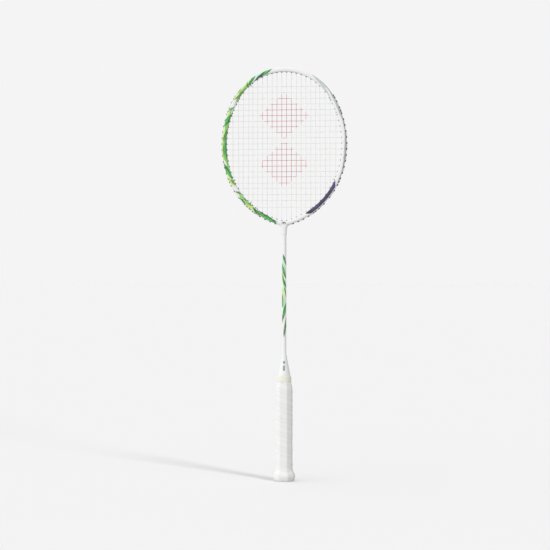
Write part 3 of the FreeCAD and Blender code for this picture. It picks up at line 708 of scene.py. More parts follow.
def make_head():
    """Section spun round each arc's centre in turn, down the right side and up the left."""
    start_piece()
    bpy.ops.mesh.primitive_circle_add(vertices=len(SECTION), radius=HALF_TUBE)
    head = bpy.context.object
    head.name = "painted_head"
    first = ARCS[0]
    for vertex, (outward, over, _) in zip(head.data.vertices, SECTION):
        vertex.co = Vector((0, over, first.centre.z + first.radius + outward))
    edit_all(head)
    turns = [(arc.centre, arc.end - arc.start) for arc in ARCS]
    turns += [(Vector((-centre.x, 0, centre.z)), turn) for centre, turn in reversed(turns)]
    for centre, turn in turns:
        steps = max(4, round(math.degrees(turn) / 1.25))
        bpy.ops.mesh.spin(steps=steps, angle=-turn, center=centre, axis=(0, 1, 0))
    bpy.ops.object.mode_set(mode="OBJECT")
    weld(head)
    mark_wrap(head)
    groove_end = ARCS[0].length
    for vertex in head.data.vertices:
        point = vertex.co
        along, outward = place_on_tube(abs(point.x), point.z)
        if abs(point.y) < GROOVE_HALF - 0.03 * MM and outward > 0 and along < groove_end + 0.1 * MM:
            heading = along / ARCS[0].radius
            side = 1.0 if point.x >= 0 else -1.0
            vertex.co = point - Vector((math.sin(heading) * side, 0, math.cos(heading))) * GROOVE_DEPTH
    drill_head(head)
    keep_piece(head, ["frame_hoop"], plain_side("head_plain"), smooth=50)
    paint_head(head)


# ---------------------------------------------------------------- strings


def rounded(corners, radius):
    """The corner points with each sharp turn replaced by four points of a small curve."""
    points = [corners[0]]
    for before, corner, after in zip(corners, corners[1:], corners[2:]):
        arriving = (corner - before).normalized()
        leaving = (after - corner).normalized()
        if arriving.angle(leaving) < 0.15:
            points.append(corner)
            continue
        back = min(radius, 0.45 * (corner - before).length, 0.45 * (after - corner).length)
        start, end = corner - arriving * back, corner + leaving * back
        for share in (0.0, 0.33, 0.67, 1.0):
            points.append(start.lerp(corner, share).lerp(corner.lerp(end, share), share))
    points.append(corners[-1])
    return points


def main_line(side, index):
    """Top and bottom mouths of a main."""
    return [hole_for("main", index, end).at(MOUTH, side) for end in ("top", "bottom")]


def cross_line(index):
    hole = hole_for("cross", index, "side")
    return hole.at(MOUTH, -1), hole.at(MOUTH, 1)


MAIN_ORDER = [(-1, index) for index in reversed(range(PAIRS))] + [(1, index) for index in range(PAIRS)]
MAIN_LINES = [main_line(side, index) for side, index in MAIN_ORDER]
CROSS_LINES = [cross_line(index) for index in range(CROSSES)]


def meeting(first, second):
    """Shares along two lines in the XZ plane where they meet, or None if they miss."""
    a, b = first
    c, d = second
    run, other = b - a, d - c
    det = run.x * other.z - run.z * other.x
    gap = c - a
    share = (gap.x * other.z - gap.z * other.x) / det
    other_share = (gap.x * run.z - gap.z * run.x) / det
    if 0.004 < share < 0.996 and 0.004 < other_share < 0.996:
        return share
    return None


# How far a string swings to either side where it crosses another, and how far its end stands inside.
WEAVE = STRING_RADIUS * 1.03
STRING_END = 1.7 * MM


def woven(line, others, parity, over_first):
    """Points of one string from mouth to mouth, over and under the strings it meets."""
    start, end = line
    knots = []
    for number, other in enumerate(others):
        share = meeting(line, other)
        if share is not None:
            over = 1.0 if (number + parity) % 2 == 0 else -1.0
            knots.append((share, over * over_first * WEAVE))
    knots.sort()
    knots = [(0.0, 0.0)] + knots + [(1.0, 0.0)]
    points = []
    for (share, lift), (next_share, next_lift) in zip(knots, knots[1:]):
        for step in (0.0, 0.22, 0.5, 0.78):
            ease = (1 - math.cos(math.pi * step)) / 2
            point = start.lerp(end, share + (next_share - share) * step)
            points.append(point + Vector((0, lift + (next_lift - lift) * ease, 0)))
    points.append(end.copy())
    return points


def groove_run(start, finish, side, lift):
    low, high = sorted((start.along, finish.along))
    passed = [hole for hole in HOLES if low + 0.1 * MM < hole.along < high - 0.1 * MM]
    if start.along > finish.along:
        passed.reverse()
    return [hole.outside(side, lift) for hole in passed]


def string_route(stops, lift, tie_start, tie_end):
    """Points from knot to knot: woven runs inside, rounded loops outside the tube."""
    inside = MOUTH - STRING_END
    here, side = tie_start
    loop = [here.at(inside, side, 0), here.outside(side, lift)]
    points = []
    for first, first_side, last, last_side, run in stops:
        if first_side == side:
            loop += groove_run(here, first, side, lift)
        loop.append(first.outside(first_side, lift))
        loop += [run[0], run[1]]
        points += rounded(loop, 0.8 * MM)[:-1] + run[2:-2]
        loop = [run[-2], run[-1], last.outside(last_side, lift)]
        here, side = last, last_side
    finish, side = tie_end
    loop += groove_run(here, finish, side, lift)
    loop += [finish.outside(side, lift), finish.at(inside, side, 0)]
    return points + rounded(loop, 0.8 * MM)


def string_along(name, points):
    """A round string with closed ends along its points."""
    start_piece()
    data = bpy.data.curves.new(name, "CURVE")
    data.dimensions = "3D"
    data.bevel_depth = STRING_RADIUS
    data.bevel_resolution = 1
    data.use_fill_caps = True
    spline = data.splines.new("POLY")
    spline.points.add(len(points) - 1)
    for target, point in zip(spline.points, points):
        target.co = (*point, 1.0)
    piece = bpy.data.objects.new(name, data)
    bpy.context.scene.collection.objects.link(piece)
    piece.select_set(True)
    bpy.context.view_layer.objects.active = piece
    bpy.ops.object.convert(target="MESH")
    return bpy.context.object


# A tied knot: coils of the string round its own end, then a short tail.
KNOT_TURNS = 2.7
KNOT_RADIUS = 0.69 * MM
KNOT_NEAR, KNOT_FAR = 0.8 * MM, 2.7 * MM
KNOT_TAIL = [(0.25, -0.35, 0.0), (0.6, -0.75, -0.3), (0.8, -1.0, -1.3)]


def knot_points():
    """The string's end comes out of its hole, turns back round itself and leaves a short tail."""
    points = [(0, 0, MOUTH - 1.6 * MM), (0, 0, MOUTH - 2.55 * MM), (0.35 * MM, 0, MOUTH - 2.85 * MM)]
    steps = 60
    for step in range(steps + 1):
        turn = 2 * math.pi * KNOT_TURNS * step / steps
        depth = KNOT_FAR - (KNOT_FAR - KNOT_NEAR) * step / steps
        points.append((KNOT_RADIUS * math.cos(turn), KNOT_RADIUS * math.sin(turn), MOUTH - depth))
    end = Vector(points[-1])
    return points + [end + Vector(move) * MM for move in KNOT_TAIL]


def main_stops():
    stops = []
    for count, (side, index) in enumerate(MAIN_ORDER):
        top, bottom = hole_for("main", index, "top"), hole_for("main", index, "bottom")
        run = woven(MAIN_LINES[count], CROSS_LINES, count, 1.0)
        if count % 2 == 0:
            stops.append((bottom, side, top, side, list(reversed(run))))
        else:
            stops.append((top, side, bottom, side, run))
    return stops


def cross_stops():
    stops = []
    for index in range(CROSSES):
        hole = hole_for("cross", index, "side")
        run = woven(CROSS_LINES[index], MAIN_LINES, index, -1.0)
        if index % 2 == 0:
            stops.append((hole, -1, hole, 1, run))
        else:
            stops.append((hole, 1, hole, -1, list(reversed(run))))
    return stops


# Middle height, half width and half height of each printed lozenge, in millimetres.
LOZENGES = [(596.0, 42.0, 39.0), (517.0, 42.0, 39.0)]


def string_finish():
    """White multifilament nylon with a rosy ink pattern: two stacked lozenges."""
    finish = Finish("string_nylon", roughness=0.38, Specular_IOR_Level=0.5, Subsurface_Weight=0.12)
    finish.shader.inputs["Subsurface Scale"].default_value = 0.0006
    vector, x, _, z = finish.object_axes()
    ink = 0.0
    for middle_z, half_x, half_z in LOZENGES:
        across = finish.math("DIVIDE", finish.math("ABSOLUTE", x), half_x * MM)
        upward = finish.math("ABSOLUTE", finish.math("SUBTRACT", z, middle_z * MM))
        share = finish.math("ADD", across, finish.math("DIVIDE", upward, half_z * MM))
        ink = finish.math("MAXIMUM", ink, finish.step(share, 1.02, 0.98))
    worn = finish.step(finish.noise(vector, 420.0, 2.0), 0.25, 0.5)
    ink = finish.math("MULTIPLY", ink, finish.math("MULTIPLY_ADD", worn, 0.25, 0.75))
    fibre = finish.noise(vector, 2600.0, 1.0)
    base = finish.blend(finish.math("MULTIPLY", fibre, 0.25), srgb(236, 236, 234), srgb(206, 208, 204))
    finish.colour(finish.blend(ink, base, srgb(196, 50, 80)))
    finish.bump(fibre, 0.12, 0.0001)
    return finish.material


def make_strings():
    material = string_finish()
    lift = STRING_RADIUS + 0.02 * MM
    mains = string_route(main_stops(), -lift, (MAIN_TIE, -1), (MAIN_TIE, 1))
    crosses = string_route(cross_stops(), lift, (CROSS_TOP_TIE, -1), (CROSS_LOW_TIE, -1))
    mains = string_along("woven_mains", mains)
    keep_piece(mains, ["main_string"], material, smooth=80)
    crosses = string_along("woven_crosses", crosses)
    keep_piece(crosses, ["cross_string"], material, smooth=80)
    knot = string_along("knot", knot_points())
    knots = join_copies("tied_knots", [(knot, stand(hole, side)) for hole, side in TIES])
    keep_piece(knots, ["string_knots"], material, smooth=80)
    bpy.data.objects.remove(knot, do_unlink=True)


# ---------------------------------------------------------------- shaft, throat, cone


SHAFT_RADIUS = shaft_high.x
SHAFT_BORE = 2.5 * MM

# Strokes on the shaft, in millimetres: round it from the front and height, for start and end; width; paint.
SHAFT_STROKES = [
    (-2.4, 364, 2.6, 330, 3.6, "mint"), (-3.0, 344, 0.6, 316, 2.6, "lime"),
    (-1.4, 320, 0.6, 268, 4.0, "pale"), (1.4, 298, -1.2, 270, 2.6, "mint"),
    (-1.8, 371, 3.8, 352, 2.6, "deep"), (-2.6, 360, 2.4, 344, 1.3, "mint"),
    (-5.0, 357, 3.6, 330, 3.0, "deep"), (-2.6, 350, 2.0, 336, 0.9, "bright"),
    (-4.8, 341, -1.6, 331, 1.5, "orange"), (-4.0, 336, 4.4, 314, 2.8, "leaf"),
    (-0.6, 329, 4.4, 315, 1.5, "deep"), (0.6, 318, 4.6, 299, 2.2, "leaf"),
    (-4.6, 316, -1.0, 302, 2.0, "yellow"), (-3.0, 306, -2.2, 283, 3.0, "deep"),
    (-1.2, 300, -1.6, 286, 1.0, "bright"), (4.2, 291, -4.0, 258, 3.6, "deep"),
    (2.8, 284, -1.8, 268, 1.1, "bright"), (-5.0, 268, -3.2, 257, 1.8, "orange"),
    (4.6, 267, -0.6, 234, 3.0, "deep"), (2.6, 262, 0.0, 246, 1.0, "lime"),
    (11.0, 366, 5.8, 338, 2.8, "leaf"), (-10.8, 350, -6.0, 322, 2.6, "deep"),
    (10.6, 332, 6.4, 302, 2.4, "lime"), (-6.2, 306, -10.4, 276, 3.0, "leaf"),
    (6.8, 290, 10.8, 258, 2.6, "teal"), (-9.8, 268, -6.2, 244, 2.4, "bright"),
]


def shaft_finish():
    """White lacquer with slanting strokes round the middle of the shaft."""
    finish = lacquer("shaft_lacquer")
    vector, x, y, z = finish.object_axes()
    turn = finish.math("ARCTAN2", x, finish.math("MULTIPLY", y, -1.0))
    around = finish.math("MULTIPLY", turn, SHAFT_RADIUS)
    colour = brushed(finish, WHITE_LACQUER, around, z, SHAFT_STROKES)
    peel(finish, vector, colour)
    return finish.material


def lathe(name, outline, steps=64):
    """An outline of (radius, height) points turned round the shaft's axis."""
    start_piece()
    bpy.ops.mesh.primitive_plane_add(size=1)
    piece = bpy.context.object
    piece.name = name
    edit_all(piece)
    bpy.ops.mesh.merge(type="CENTER")
    bpy.ops.mesh.select_all(action="SELECT")
    here = Vector((0, 0, 0))
    first = True
    for radius, height in outline:
        target = Vector((radius, 0, height))
        if first:
            bpy.ops.transform.translate(value=target - here)
            first = False
        else:
            bpy.ops.mesh.extrude_region_move(TRANSFORM_OT_translate={"value": target - here})
        here = target
    bpy.ops.mesh.select_all(action="SELECT")
    bpy.ops.mesh.spin(steps=steps, angle=2 * math.pi, center=(0, 0, 0), axis=(0, 0, 1))
    bpy.ops.object.mode_set(mode="OBJECT")
    weld(piece)
    return piece


def soft_corner(before, corner, after, radius, steps=4):
    """Points of a rounded corner in an outline."""
    before, corner, after = Vector(before), Vector(corner), Vector(after)
    back = min(radius, 0.49 * (corner - before).length, 0.49 * (after - corner).length)
    start = corner + (before - corner).normalized() * back
    end = corner + (after - corner).normalized() * back
    points = []
    for index in range(steps + 1):
        share = index / steps
        points.append(start.lerp(corner, share).lerp(corner.lerp(end, share), share))
    return [tuple(point) for point in points]


def soften(outline, radii):
    """The outline with each inner corner rounded by its own radius."""
    points = [outline[0]]
    for index in range(1, len(outline) - 1):
        points += soft_corner(outline[index - 1], outline[index], outline[index + 1], radii[index - 1])
    return points + [outline[-1]]


CONE_TIP = 4.3 * MM
CONE_RIM = 2.2 * MM
CONE_LIP = 5.0 * MM

# Marks on the cone: middle and half size across and up, in millimetres.
CONE_MARKS = [(0.6, 193.8, 1.7, 2.3), (0.6, 184.6, 1.6, 4.1)]


def cone_finish():
    """White moulded plastic with two small dark marks of level bars on the front."""
    finish = lacquer("cap_plastic")
    vector, x, y, z = finish.object_axes()
    front = finish.step(y, -1.0 * MM, -1.2 * MM)
    marks = 0.0
    for middle_x, middle_z, half_x, half_z in CONE_MARKS:
        wide = finish.math("ABSOLUTE", finish.math("SUBTRACT", x, middle_x * MM))
        high = finish.math("ABSOLUTE", finish.math("SUBTRACT", z, middle_z * MM))
        box = finish.math("MULTIPLY", finish.step(wide, half_x * MM, (half_x - 0.1) * MM),
                          finish.step(high, half_z * MM, (half_z - 0.1) * MM))
        marks = finish.math("MAXIMUM", marks, box)
    lines = finish.step(finish.math("PINGPONG", z, 0.75 * MM), 0.16 * MM, 0.26 * MM)
    marks = finish.math("MULTIPLY", finish.math("MULTIPLY", marks, lines), front)
    colour = finish.blend(marks, WHITE_LACQUER, srgb(42, 84, 90))
    peel(finish, vector, colour)
    return finish.material


def make_cone():
    """Cone with a straight rim, a long hollow curve and a thick lip round the shaft."""
    base, tip = cone_high.x, CONE_TIP
    bore = SHAFT_RADIUS + GLUE_GAP
    low, high = cone_low.z, cone_high.z
    length = high - low
    outline = [
        (bore, low), (base, low), (base, low + CONE_RIM), (base * 0.775, low + length * 0.38),
        (tip * 1.08, high - CONE_LIP), (tip, high), (bore, high),
    ]
    outline = soften(outline, [0.5 * MM, 2.0 * MM, 9 * MM, 4 * MM, 0.5 * MM])
    cone = lathe("shaft_cone", outline + [outline[0]])
    return keep_piece(cone, ["cone_cap"], cone_finish())


def make_shaft():
    """A tube, its outside cut into short lengths."""
    low, high = shaft_low.z, shaft_high.z
    lengths = 24
    outline = [(SHAFT_BORE, low)]
    outline += [(SHAFT_RADIUS, low + (high - low) * index / lengths) for index in range(lengths + 1)]
    outline += [(SHAFT_BORE, high), (SHAFT_BORE, low)]
    shaft = lathe("painted_shaft", outline, steps=48)
    return keep_piece(shaft, ["shaft"], shaft_finish())


# The throat piece: where it runs, how wide it ends and how late it sweeps out, then its neck over the shaft.
THROAT_LOW, THROAT_HIGH = shaft_high.z, HEAD_TIP + 5.6 * MM
THROAT_HALF = 13.0 * MM
THROAT_SWEEP = 3.2
NECK_STEP = 0.6 * MM
NECK_LIP = 2.6 * MM
NECK_LENGTH = 3.0 * MM


def throat_neck(z):
    """Radius of the neck: a rounded lip instead of a sharp step over the shaft."""
    share = min(1.0, max(0.0, (z - THROAT_LOW) / NECK_LIP))
    return SHAFT_RADIUS + NECK_STEP * share ** 0.5


def throat_half_width(z):
    """Half width of the throat piece: a neck that sweeps out along the frame's underside."""
    neck = throat_neck(z)
    share = max(0.0, (z - THROAT_LOW - NECK_LENGTH) / (THROAT_HIGH - THROAT_LOW - NECK_LENGTH))
    return neck + (THROAT_HALF - neck) * share ** THROAT_SWEEP


def make_throat():
    """Sections from the shaft's top up into the frame's tip, wider and a little deeper as they rise."""
    def place(around, upward):
        turn = 2 * math.pi * around
        z = THROAT_LOW + (THROAT_HIGH - THROAT_LOW) * upward
        wide = throat_half_width(z)
        deep = throat_neck(z) - 0.05 * MM + 0.75 * MM * upward
        power = 2 / (2 + 0.8 * upward)
        x = math.copysign(abs(math.cos(turn)) ** power, math.cos(turn)) * wide
        y = math.copysign(abs(math.sin(turn)) ** power, math.sin(turn)) * deep
        return Vector((x, y, z))

    throat = mapped_grid("throat_saddle", 64, 48, place)
    weld(throat)
    close_ends(throat)
    finish = lacquer("throat_lacquer")
    vector, x, y, z = finish.object_axes()
    colour = finish.blend(throat_bars(finish, x, z), WHITE_LACQUER, BAR_INK)
    peel(finish, vector, colour)
    return keep_piece(throat, ["throat_joint"], finish.material)


# ---------------------------------------------------------------- handle


def eased(stations, height):
    """Smooth value between (height, value) stations."""
    for (low, first), (high, second) in zip(stations, stations[1:]):
        if height <= high:
            share = max(0.0, (height - low) / (high - low))
            share = share * share * (3 - 2 * share)
            return first + (second - first) * share
    return stations[-1][1]


# Height up the handle, then how far the grip stands out past its straight part, in millimetres.
GRIP_SWELL = [
    (0.4, 0.6), (1.2, 2.3), (3.2, 3.6), (8.5, 4.1), (12.0, 3.3), (16.0, 1.0), (20.0, 0.05), (24.0, 0.0),
    (147.0, 0.0), (163.2, -2.0),
]


# How far the stretched tape sinks between its ridges, and where round the handle it starts.
TAPE_PRESSED = 0.34 * MM
TAPE_START = math.radians(250)

# How crisp the eight edges are under the grip and under the thicker finishing tape.
GRIP_CRISPNESS = 34.0
BAND_CRISPNESS = 9.0


def octagon_point(turn, grow, crispness):
    """Point of the eight-sided section at a turn round the handle, with softened edges."""
    half_x = HANDLE_HALF_X + grow
    half_y = HANDLE_HALF_Y + grow
    leg = HANDLE_BEVEL + grow * (2 - math.sqrt(2))
    reach_bevel = (half_x + half_y - leg) / math.sqrt(2)
    direction = Vector((math.cos(turn), math.sin(turn)))
    shares = [
        abs(direction.x) / half_x, abs(direction.y) / half_y,
        (abs(direction.x) + abs(direction.y)) / math.sqrt(2) / reach_bevel,
    ]
    total = sum(share ** crispness for share in shares) ** (1 / crispness)
    return direction / total


def grip_point(turn, z, lift):
    grow = eased(GRIP_SWELL, z / MM) * MM + GRIP_THICKNESS - TAPE_PRESSED + lift
    flat = octagon_point(turn, grow, GRIP_CRISPNESS)
    return Vector((flat.x, flat.y, z))


# Across one turn of tape: share of the pitch, then how far it stands out, in millimetres.
TAPE_PROFILE = [
    (0.0, 0.0), (0.004, 0.28), (0.016, 0.34), (0.06, 0.3), (0.14, 0.15), (0.24, 0.05), (0.33, 0.0),
    (0.345, -0.13), (0.36, -0.13), (0.375, 0.0), (0.5, 0.04), (0.64, 0.0), (0.655, -0.13),
    (0.67, -0.13), (0.685, 0.0), (0.84, 0.03), (0.96, 0.0), (1.0, 0.0),
]


def make_grip():
    """Tape wound up the handle: each turn lies over the top edge of the one below."""
    low, high = grip_low.z, grip_high.z
    turns = math.ceil((high - low) / WRAP_PITCH) + 2
    segments = 88
    start_z = low - 1.6 * WRAP_PITCH
    rows = len(TAPE_PROFILE) - 1

    def place(along, across):
        share, lift = TAPE_PROFILE[round(across * rows)]
        turn = 2 * math.pi * turns * along
        z = start_z + WRAP_PITCH * (turns * along + share)
        return grip_point(TAPE_START - turn, z, lift * MM)

    grip = mapped_grid("wound_grip", segments * turns, rows, place)
    weld(grip, 0.02 * MM)
    edit_all(grip)
    bpy.ops.mesh.bisect(plane_co=(0, 0, low), plane_no=(0, 0, 1), clear_inner=True)
    bpy.ops.mesh.select_all(action="SELECT")
    bpy.ops.mesh.bisect(plane_co=(0, 0, high), plane_no=(0, 0, 1), clear_outer=True)
    bpy.ops.object.mode_set(mode="OBJECT")
    close_ends(grip)
    return keep_piece(grip, ["grip_tape"], grip_finish(), smooth=35)


def grip_finish():
    """Soft white synthetic leather: fine pores, painted darker as shade in them, and a faint cloudiness."""
    finish = Finish("grip_wrap", roughness=0.62, Specular_IOR_Level=0.35, Sheen_Weight=0.12)
    finish.shader.inputs["Sheen Roughness"].default_value = 0.5
    vector = finish.object_vector()
    pores = finish.node("TexVoronoi", {"Vector": vector, "Scale": 1500.0}).outputs["Distance"]
    grain = finish.noise(vector, 700.0, 3.0)
    cloud = finish.noise(vector, 45.0, 3.0)
    colour = finish.blend(finish.math("MULTIPLY", cloud, 0.12), srgb(240, 240, 238), srgb(214, 214, 208))
    # Painted shade: the pores are coloured a darker grey, as shade would fall in them.
    colour = finish.blend(finish.step(pores, 0.16, 0.05), colour, srgb(212, 212, 208))
    finish.colour(colour)
    finish.bump(finish.math("ADD", pores, grain), 0.18, 0.00025)
    return finish.material


def make_band():
    """Finishing tape round the top of the grip, its edges a little proud and rounded."""
    low, high = band_low.z - 0.4 * MM, band_high.z + 0.9 * MM
    top = band_high.z / MM
    stations = [(low / MM, 0.35), (low / MM + 0.5, 0.62), (top - 1.2, 0.2), (top - 0.1, 0.05),
                (top + 0.5, -0.3), (high / MM, -1.2)]

    def place(around, upward):
        z = low + (high - low) * upward
        grow = (eased(stations, z / MM) - 0.55) * MM
        flat = octagon_point(2 * math.pi * around, grow, BAND_CRISPNESS)
        return Vector((flat.x, flat.y, z))

    band = mapped_grid("cream_band", 96, 48, place)
    weld(band)
    close_ends(band)
    finish = Finish("band_tape", roughness=0.4, Specular_IOR_Level=0.4)
    vector = finish.object_vector()
    weave = finish.noise(finish.stretch(vector, (1.0, 1.0, 6.0)), 500.0, 2.0)
    weave_share = finish.math("MULTIPLY", weave, 0.4)
    finish.colour(finish.blend(weave_share, srgb(240, 239, 226), srgb(228, 225, 206)))
    finish.bump(weave, 0.1, 0.0002)
    return keep_piece(band, ["finishing_tape"], finish.material)


# The plate under the butt: how far it reaches past the bare wood, its flat rim, the step and the
# depth of its dished middle, and its rounded edges.
PLATE_REACH = 1.3 * MM
PLATE_RIM = 2.2 * MM
PLATE_STEP = 0.5 * MM
PLATE_DISH = 0.45 * MM
PLATE_ROUND = 0.35 * MM


def make_butt_plate():
    """Moulded end plate: eight sides, a softened rim and a shallow dished panel."""
    start_piece()
    bpy.ops.mesh.primitive_cylinder_add(vertices=8, radius=1.0, depth=cap_high.z - cap_low.z,
                                        location=(0, 0, (cap_low.z + cap_high.z) / 2))
    plate = bpy.context.object
    plate.name = "butt_plate"
    half_x, half_y = HANDLE_HALF_X + PLATE_REACH, HANDLE_HALF_Y + PLATE_REACH
    leg = HANDLE_BEVEL + PLATE_REACH * (2 - math.sqrt(2))
    for vertex in plate.data.vertices:
        turn = math.atan2(vertex.co.y, vertex.co.x) + math.radians(22.5)
        steep = abs(math.cos(turn)) > abs(math.sin(turn))
        x = half_x if steep else half_x - leg
        y = half_y - leg if steep else half_y
        vertex.co.x = math.copysign(x, math.cos(turn))
        vertex.co.y = math.copysign(y, math.sin(turn))
    edit_all(plate)
    bpy.ops.mesh.select_all(action="DESELECT")
    bpy.ops.object.mode_set(mode="OBJECT")
    for face in plate.data.polygons:
        face.select = face.normal.z < -0.5
    bpy.ops.object.mode_set(mode="EDIT")
    bpy.ops.mesh.select_mode(type="FACE")
    bpy.ops.mesh.inset(thickness=PLATE_RIM)
    bpy.ops.mesh.inset(thickness=PLATE_STEP, depth=-PLATE_DISH)
    bpy.ops.object.mode_set(mode="OBJECT")
    soft = plate.modifiers.new("soft_edges", "BEVEL")
    soft.width = PLATE_ROUND
    soft.segments = 3
    soft.limit_method = "ANGLE"
    bpy.ops.object.modifier_apply(modifier=soft.name)
    finish = Finish("butt_plastic", roughness=0.45)
    vector = finish.object_vector()
    cloud = finish.noise(vector, 300.0, 3.0)
    cloud_share = finish.math("MULTIPLY", cloud, 0.2)
    finish.colour(finish.blend(cloud_share, srgb(236, 236, 234), srgb(210, 211, 208)))
    finish.bump(finish.noise(vector, 2200.0, 1.0), 0.1, 0.0001)
    return keep_piece(plate, ["butt_cap"], finish.material)


# ---------------------------------------------------------------- finishes of the CAD pieces that stay


def wood_finish():
    finish = Finish("handle_wood", roughness=0.6)
    vector = finish.object_vector()
    rings = finish.noise(finish.stretch(vector, (9.0, 9.0, 0.6)), 60.0, 4.0, 0.6)
    finish.colour(finish.blend(rings, srgb(196, 158, 112), srgb(160, 120, 78)))
    finish.bump(rings, 0.15, 0.0003)
    return finish.material


def steel_finish():
    finish = Finish("staple_steel", roughness=0.3, Metallic=1.0)
    vector = finish.object_vector()
    brushed_marks = finish.noise(finish.stretch(vector, (1.0, 30.0, 30.0)), 300.0, 2.0)
    finish.colour(finish.blend(brushed_marks, srgb(200, 200, 202), srgb(158, 160, 164)))
    finish.bump(brushed_marks, 0.1, 0.0001)
    return finish.material


def grommet_finish():
    """Dark grey moulded nylon, slightly cloudy; the dark grey is partly the grommets' own colour and partly
    painted shade at the holes.
    """
    finish = Finish("grommet_nylon", roughness=0.5, Specular_IOR_Level=0.4)
    vector = finish.object_vector()
    cloud = finish.noise(vector, 800.0, 2.0)
    # Dark grey: partly the grommets' own colour, partly painted shade in and round the holes.
    finish.colour(finish.blend(finish.math("MULTIPLY", cloud, 0.5), srgb(96, 98, 100), srgb(62, 64, 68)))
    finish.bump(cloud, 0.12, 0.0001)
    return finish.material


def dress(node, material):
    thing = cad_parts[node]
    thing.data.materials.clear()
    thing.data.materials.append(material)


def dress_cad():
    dress("handle_core", wood_finish())
    dress("grip_staple", steel_finish())


# ---------------------------------------------------------------- grommets


# Radii of a grommet's bore, barrel and flange, and the boss that carries the string in its slot.
BORE = 0.85 * MM
BARREL = BORE + 0.4 * MM
FLANGE = FLANGE_SIZE / 2
BOSS_HEIGHT = 1.36 * MM
SLOT_HALF = 0.76 * MM


def zone_of(hole, side):
    """Which group a grommet belongs to, by what goes through it and where it sits."""
    kinds = {user[0] for user in hole.users}
    hand = "left" if side < 0 else "right"
    if not kinds:
        return "tie_off_grommets"
    if len(hole.users) > 1:
        return "shared_grommets"
    if "main" in kinds:
        return "top_grommets" if hole.users[0][2] == "top" else "throat_grommets"
    level = "upper" if hole.at(0, side).z > (HEAD_TOP + HEAD_TIP) / 2 else "lower"
    return "%s_%s_grommets" % (level, hand)


def cut_away(piece, tool):
    """Take a tool's volume out of a piece, and remove the tool."""
    cut = piece.modifiers.new("cut", "BOOLEAN")
    cut.operation = "DIFFERENCE"
    cut.solver = "EXACT"
    cut.object = tool
    bpy.ops.object.select_all(action="DESELECT")
    piece.select_set(True)
    bpy.context.view_layer.objects.active = piece
    bpy.ops.object.modifier_apply(modifier=cut.name)
    bpy.data.objects.remove(tool, do_unlink=True)


def block(low, high):
    start_piece()
    bpy.ops.mesh.primitive_cube_add(size=1, location=(Vector(low) + Vector(high)) / 2)
    solid = bpy.context.object
    solid.scale = Vector(high) - Vector(low)
    bpy.ops.object.transform_apply(location=True, rotation=True, scale=True)
    return solid


def master_grommet(floor):
    """A barrel and flange with a boss whose slot carries the string, standing along +Z."""
    seat = floor + GLUE_GAP / 2
    top = floor + BOSS_HEIGHT
    outline = [
        (BORE, MOUTH), (BARREL - 0.12 * MM, MOUTH), (BARREL, MOUTH + 0.2 * MM), (BARREL, seat),
        (FLANGE, seat), (FLANGE, seat + 0.26 * MM), (FLANGE - 0.16 * MM, seat + FLANGE_THICKNESS),
        (FLANGE - 0.2 * MM, top - 0.42 * MM), (FLANGE - 0.5 * MM, top - 0.06 * MM), (BORE + 0.3 * MM, top),
        (BORE + 0.12 * MM, top - 0.2 * MM), (BORE, seat + FLANGE_THICKNESS), (BORE, MOUTH),
    ]
    piece = lathe("grommet", outline, steps=18)
    slot_floor = seat + FLANGE_THICKNESS
    slot = block((-2 * FLANGE, -SLOT_HALF, slot_floor), (2 * FLANGE, SLOT_HALF, top + FLANGE))
    cut_away(piece, slot)
    return piece


def stand(hole, side):
    """Where a grommet made along +Z goes: outwards through its hole, its slot along the tube."""
    origin = hole.at(0.0, side)
    outward = (hole.at(1.0, side) - origin).normalized()
    over = Vector((0, 1, 0))
    turn = Matrix((over.cross(outward), over, outward)).transposed().to_4x4()
    return Matrix.Translation(origin) @ turn


def join_copies(name, masters_and_places):
    """One piece out of copies of the masters, each copy with a mesh of its own."""
    copies = []
    for master, place in masters_and_places:
        copied = master.copy()
        copied.data = master.data.copy()
        bpy.context.scene.collection.objects.link(copied)
        copied.data.transform(place)
        copies.append(copied)
    start_piece()
    for copied in copies:
        copied.select_set(True)
    bpy.context.view_layer.objects.active = copies[0]
    bpy.ops.object.join()
    joined = copies[0]
    joined.name = name
    return joined


def make_grommets():
    material = grommet_finish()
    floors = sorted({round(hole.floor, 7) for hole in HOLES})
    masters = {floor: master_grommet(floor) for floor in floors}
    groups = {}
    for hole, side in GROMMET_PLACES:
        place = (masters[round(hole.floor, 7)], stand(hole, side))
        groups.setdefault(zone_of(hole, side), []).append(place)
    for zone, places in groups.items():
        piece = join_copies("moulded_" + zone, places)
        keep_piece(piece, [zone], material, smooth=38)
    for master in masters.values():
        bpy.data.objects.remove(master, do_unlink=True)


def drill_head(head):
    """A hole right through the tube for every grommet."""
    start_piece()
    bpy.ops.mesh.primitive_cylinder_add(vertices=20, radius=BARREL + GLUE_GAP / 2, depth=4 * HALF_TUBE)
    drill = bpy.context.object
    drills = join_copies("drills", [(drill, stand(hole, side)) for hole, side in GROMMET_PLACES])
    bpy.data.objects.remove(drill, do_unlink=True)
    cut_away(head, drills)


# ---------------------------------------------------------------- studio


FLOOR_SIZE = 160.0
FLOOR_TONE = srgb(211.8, 211.8, 211.8)
BACKDROP = srgb(244, 244, 244)
BRIGHT_SIDE = (-0.38, -0.30, 0.36)
TENT_CONTRAST = 0.86
TENT_STRENGTH = 0.80
LAMP_SIDE = (0.612, -0.740, 0.305)
LAMP_SPREAD = math.radians(11.0)
LAMP_STRENGTH = 3.1

# The camera's place in metres: how far round to the right, how far back, the height it takes in at
# the racket, and what it looks at.
CAMERA_TURN = math.radians(8.0)
CAMERA_DISTANCE = 3.2
VIEW_HEIGHT = 0.8978
AIM_HEIGHT = 0.3363
AIM_LEFT = 15.0 * MM


def studio_finish(name, colour):
    finish = Finish(name, roughness=0.9, Specular_IOR_Level=0.0)
    vector = finish.object_vector()
    cloud = finish.noise(vector, 1.5, 2.0)
    finish.colour(finish.blend(finish.math("MULTIPLY", cloud, 0.01), colour, srgb(150, 150, 150)))
    return finish.material


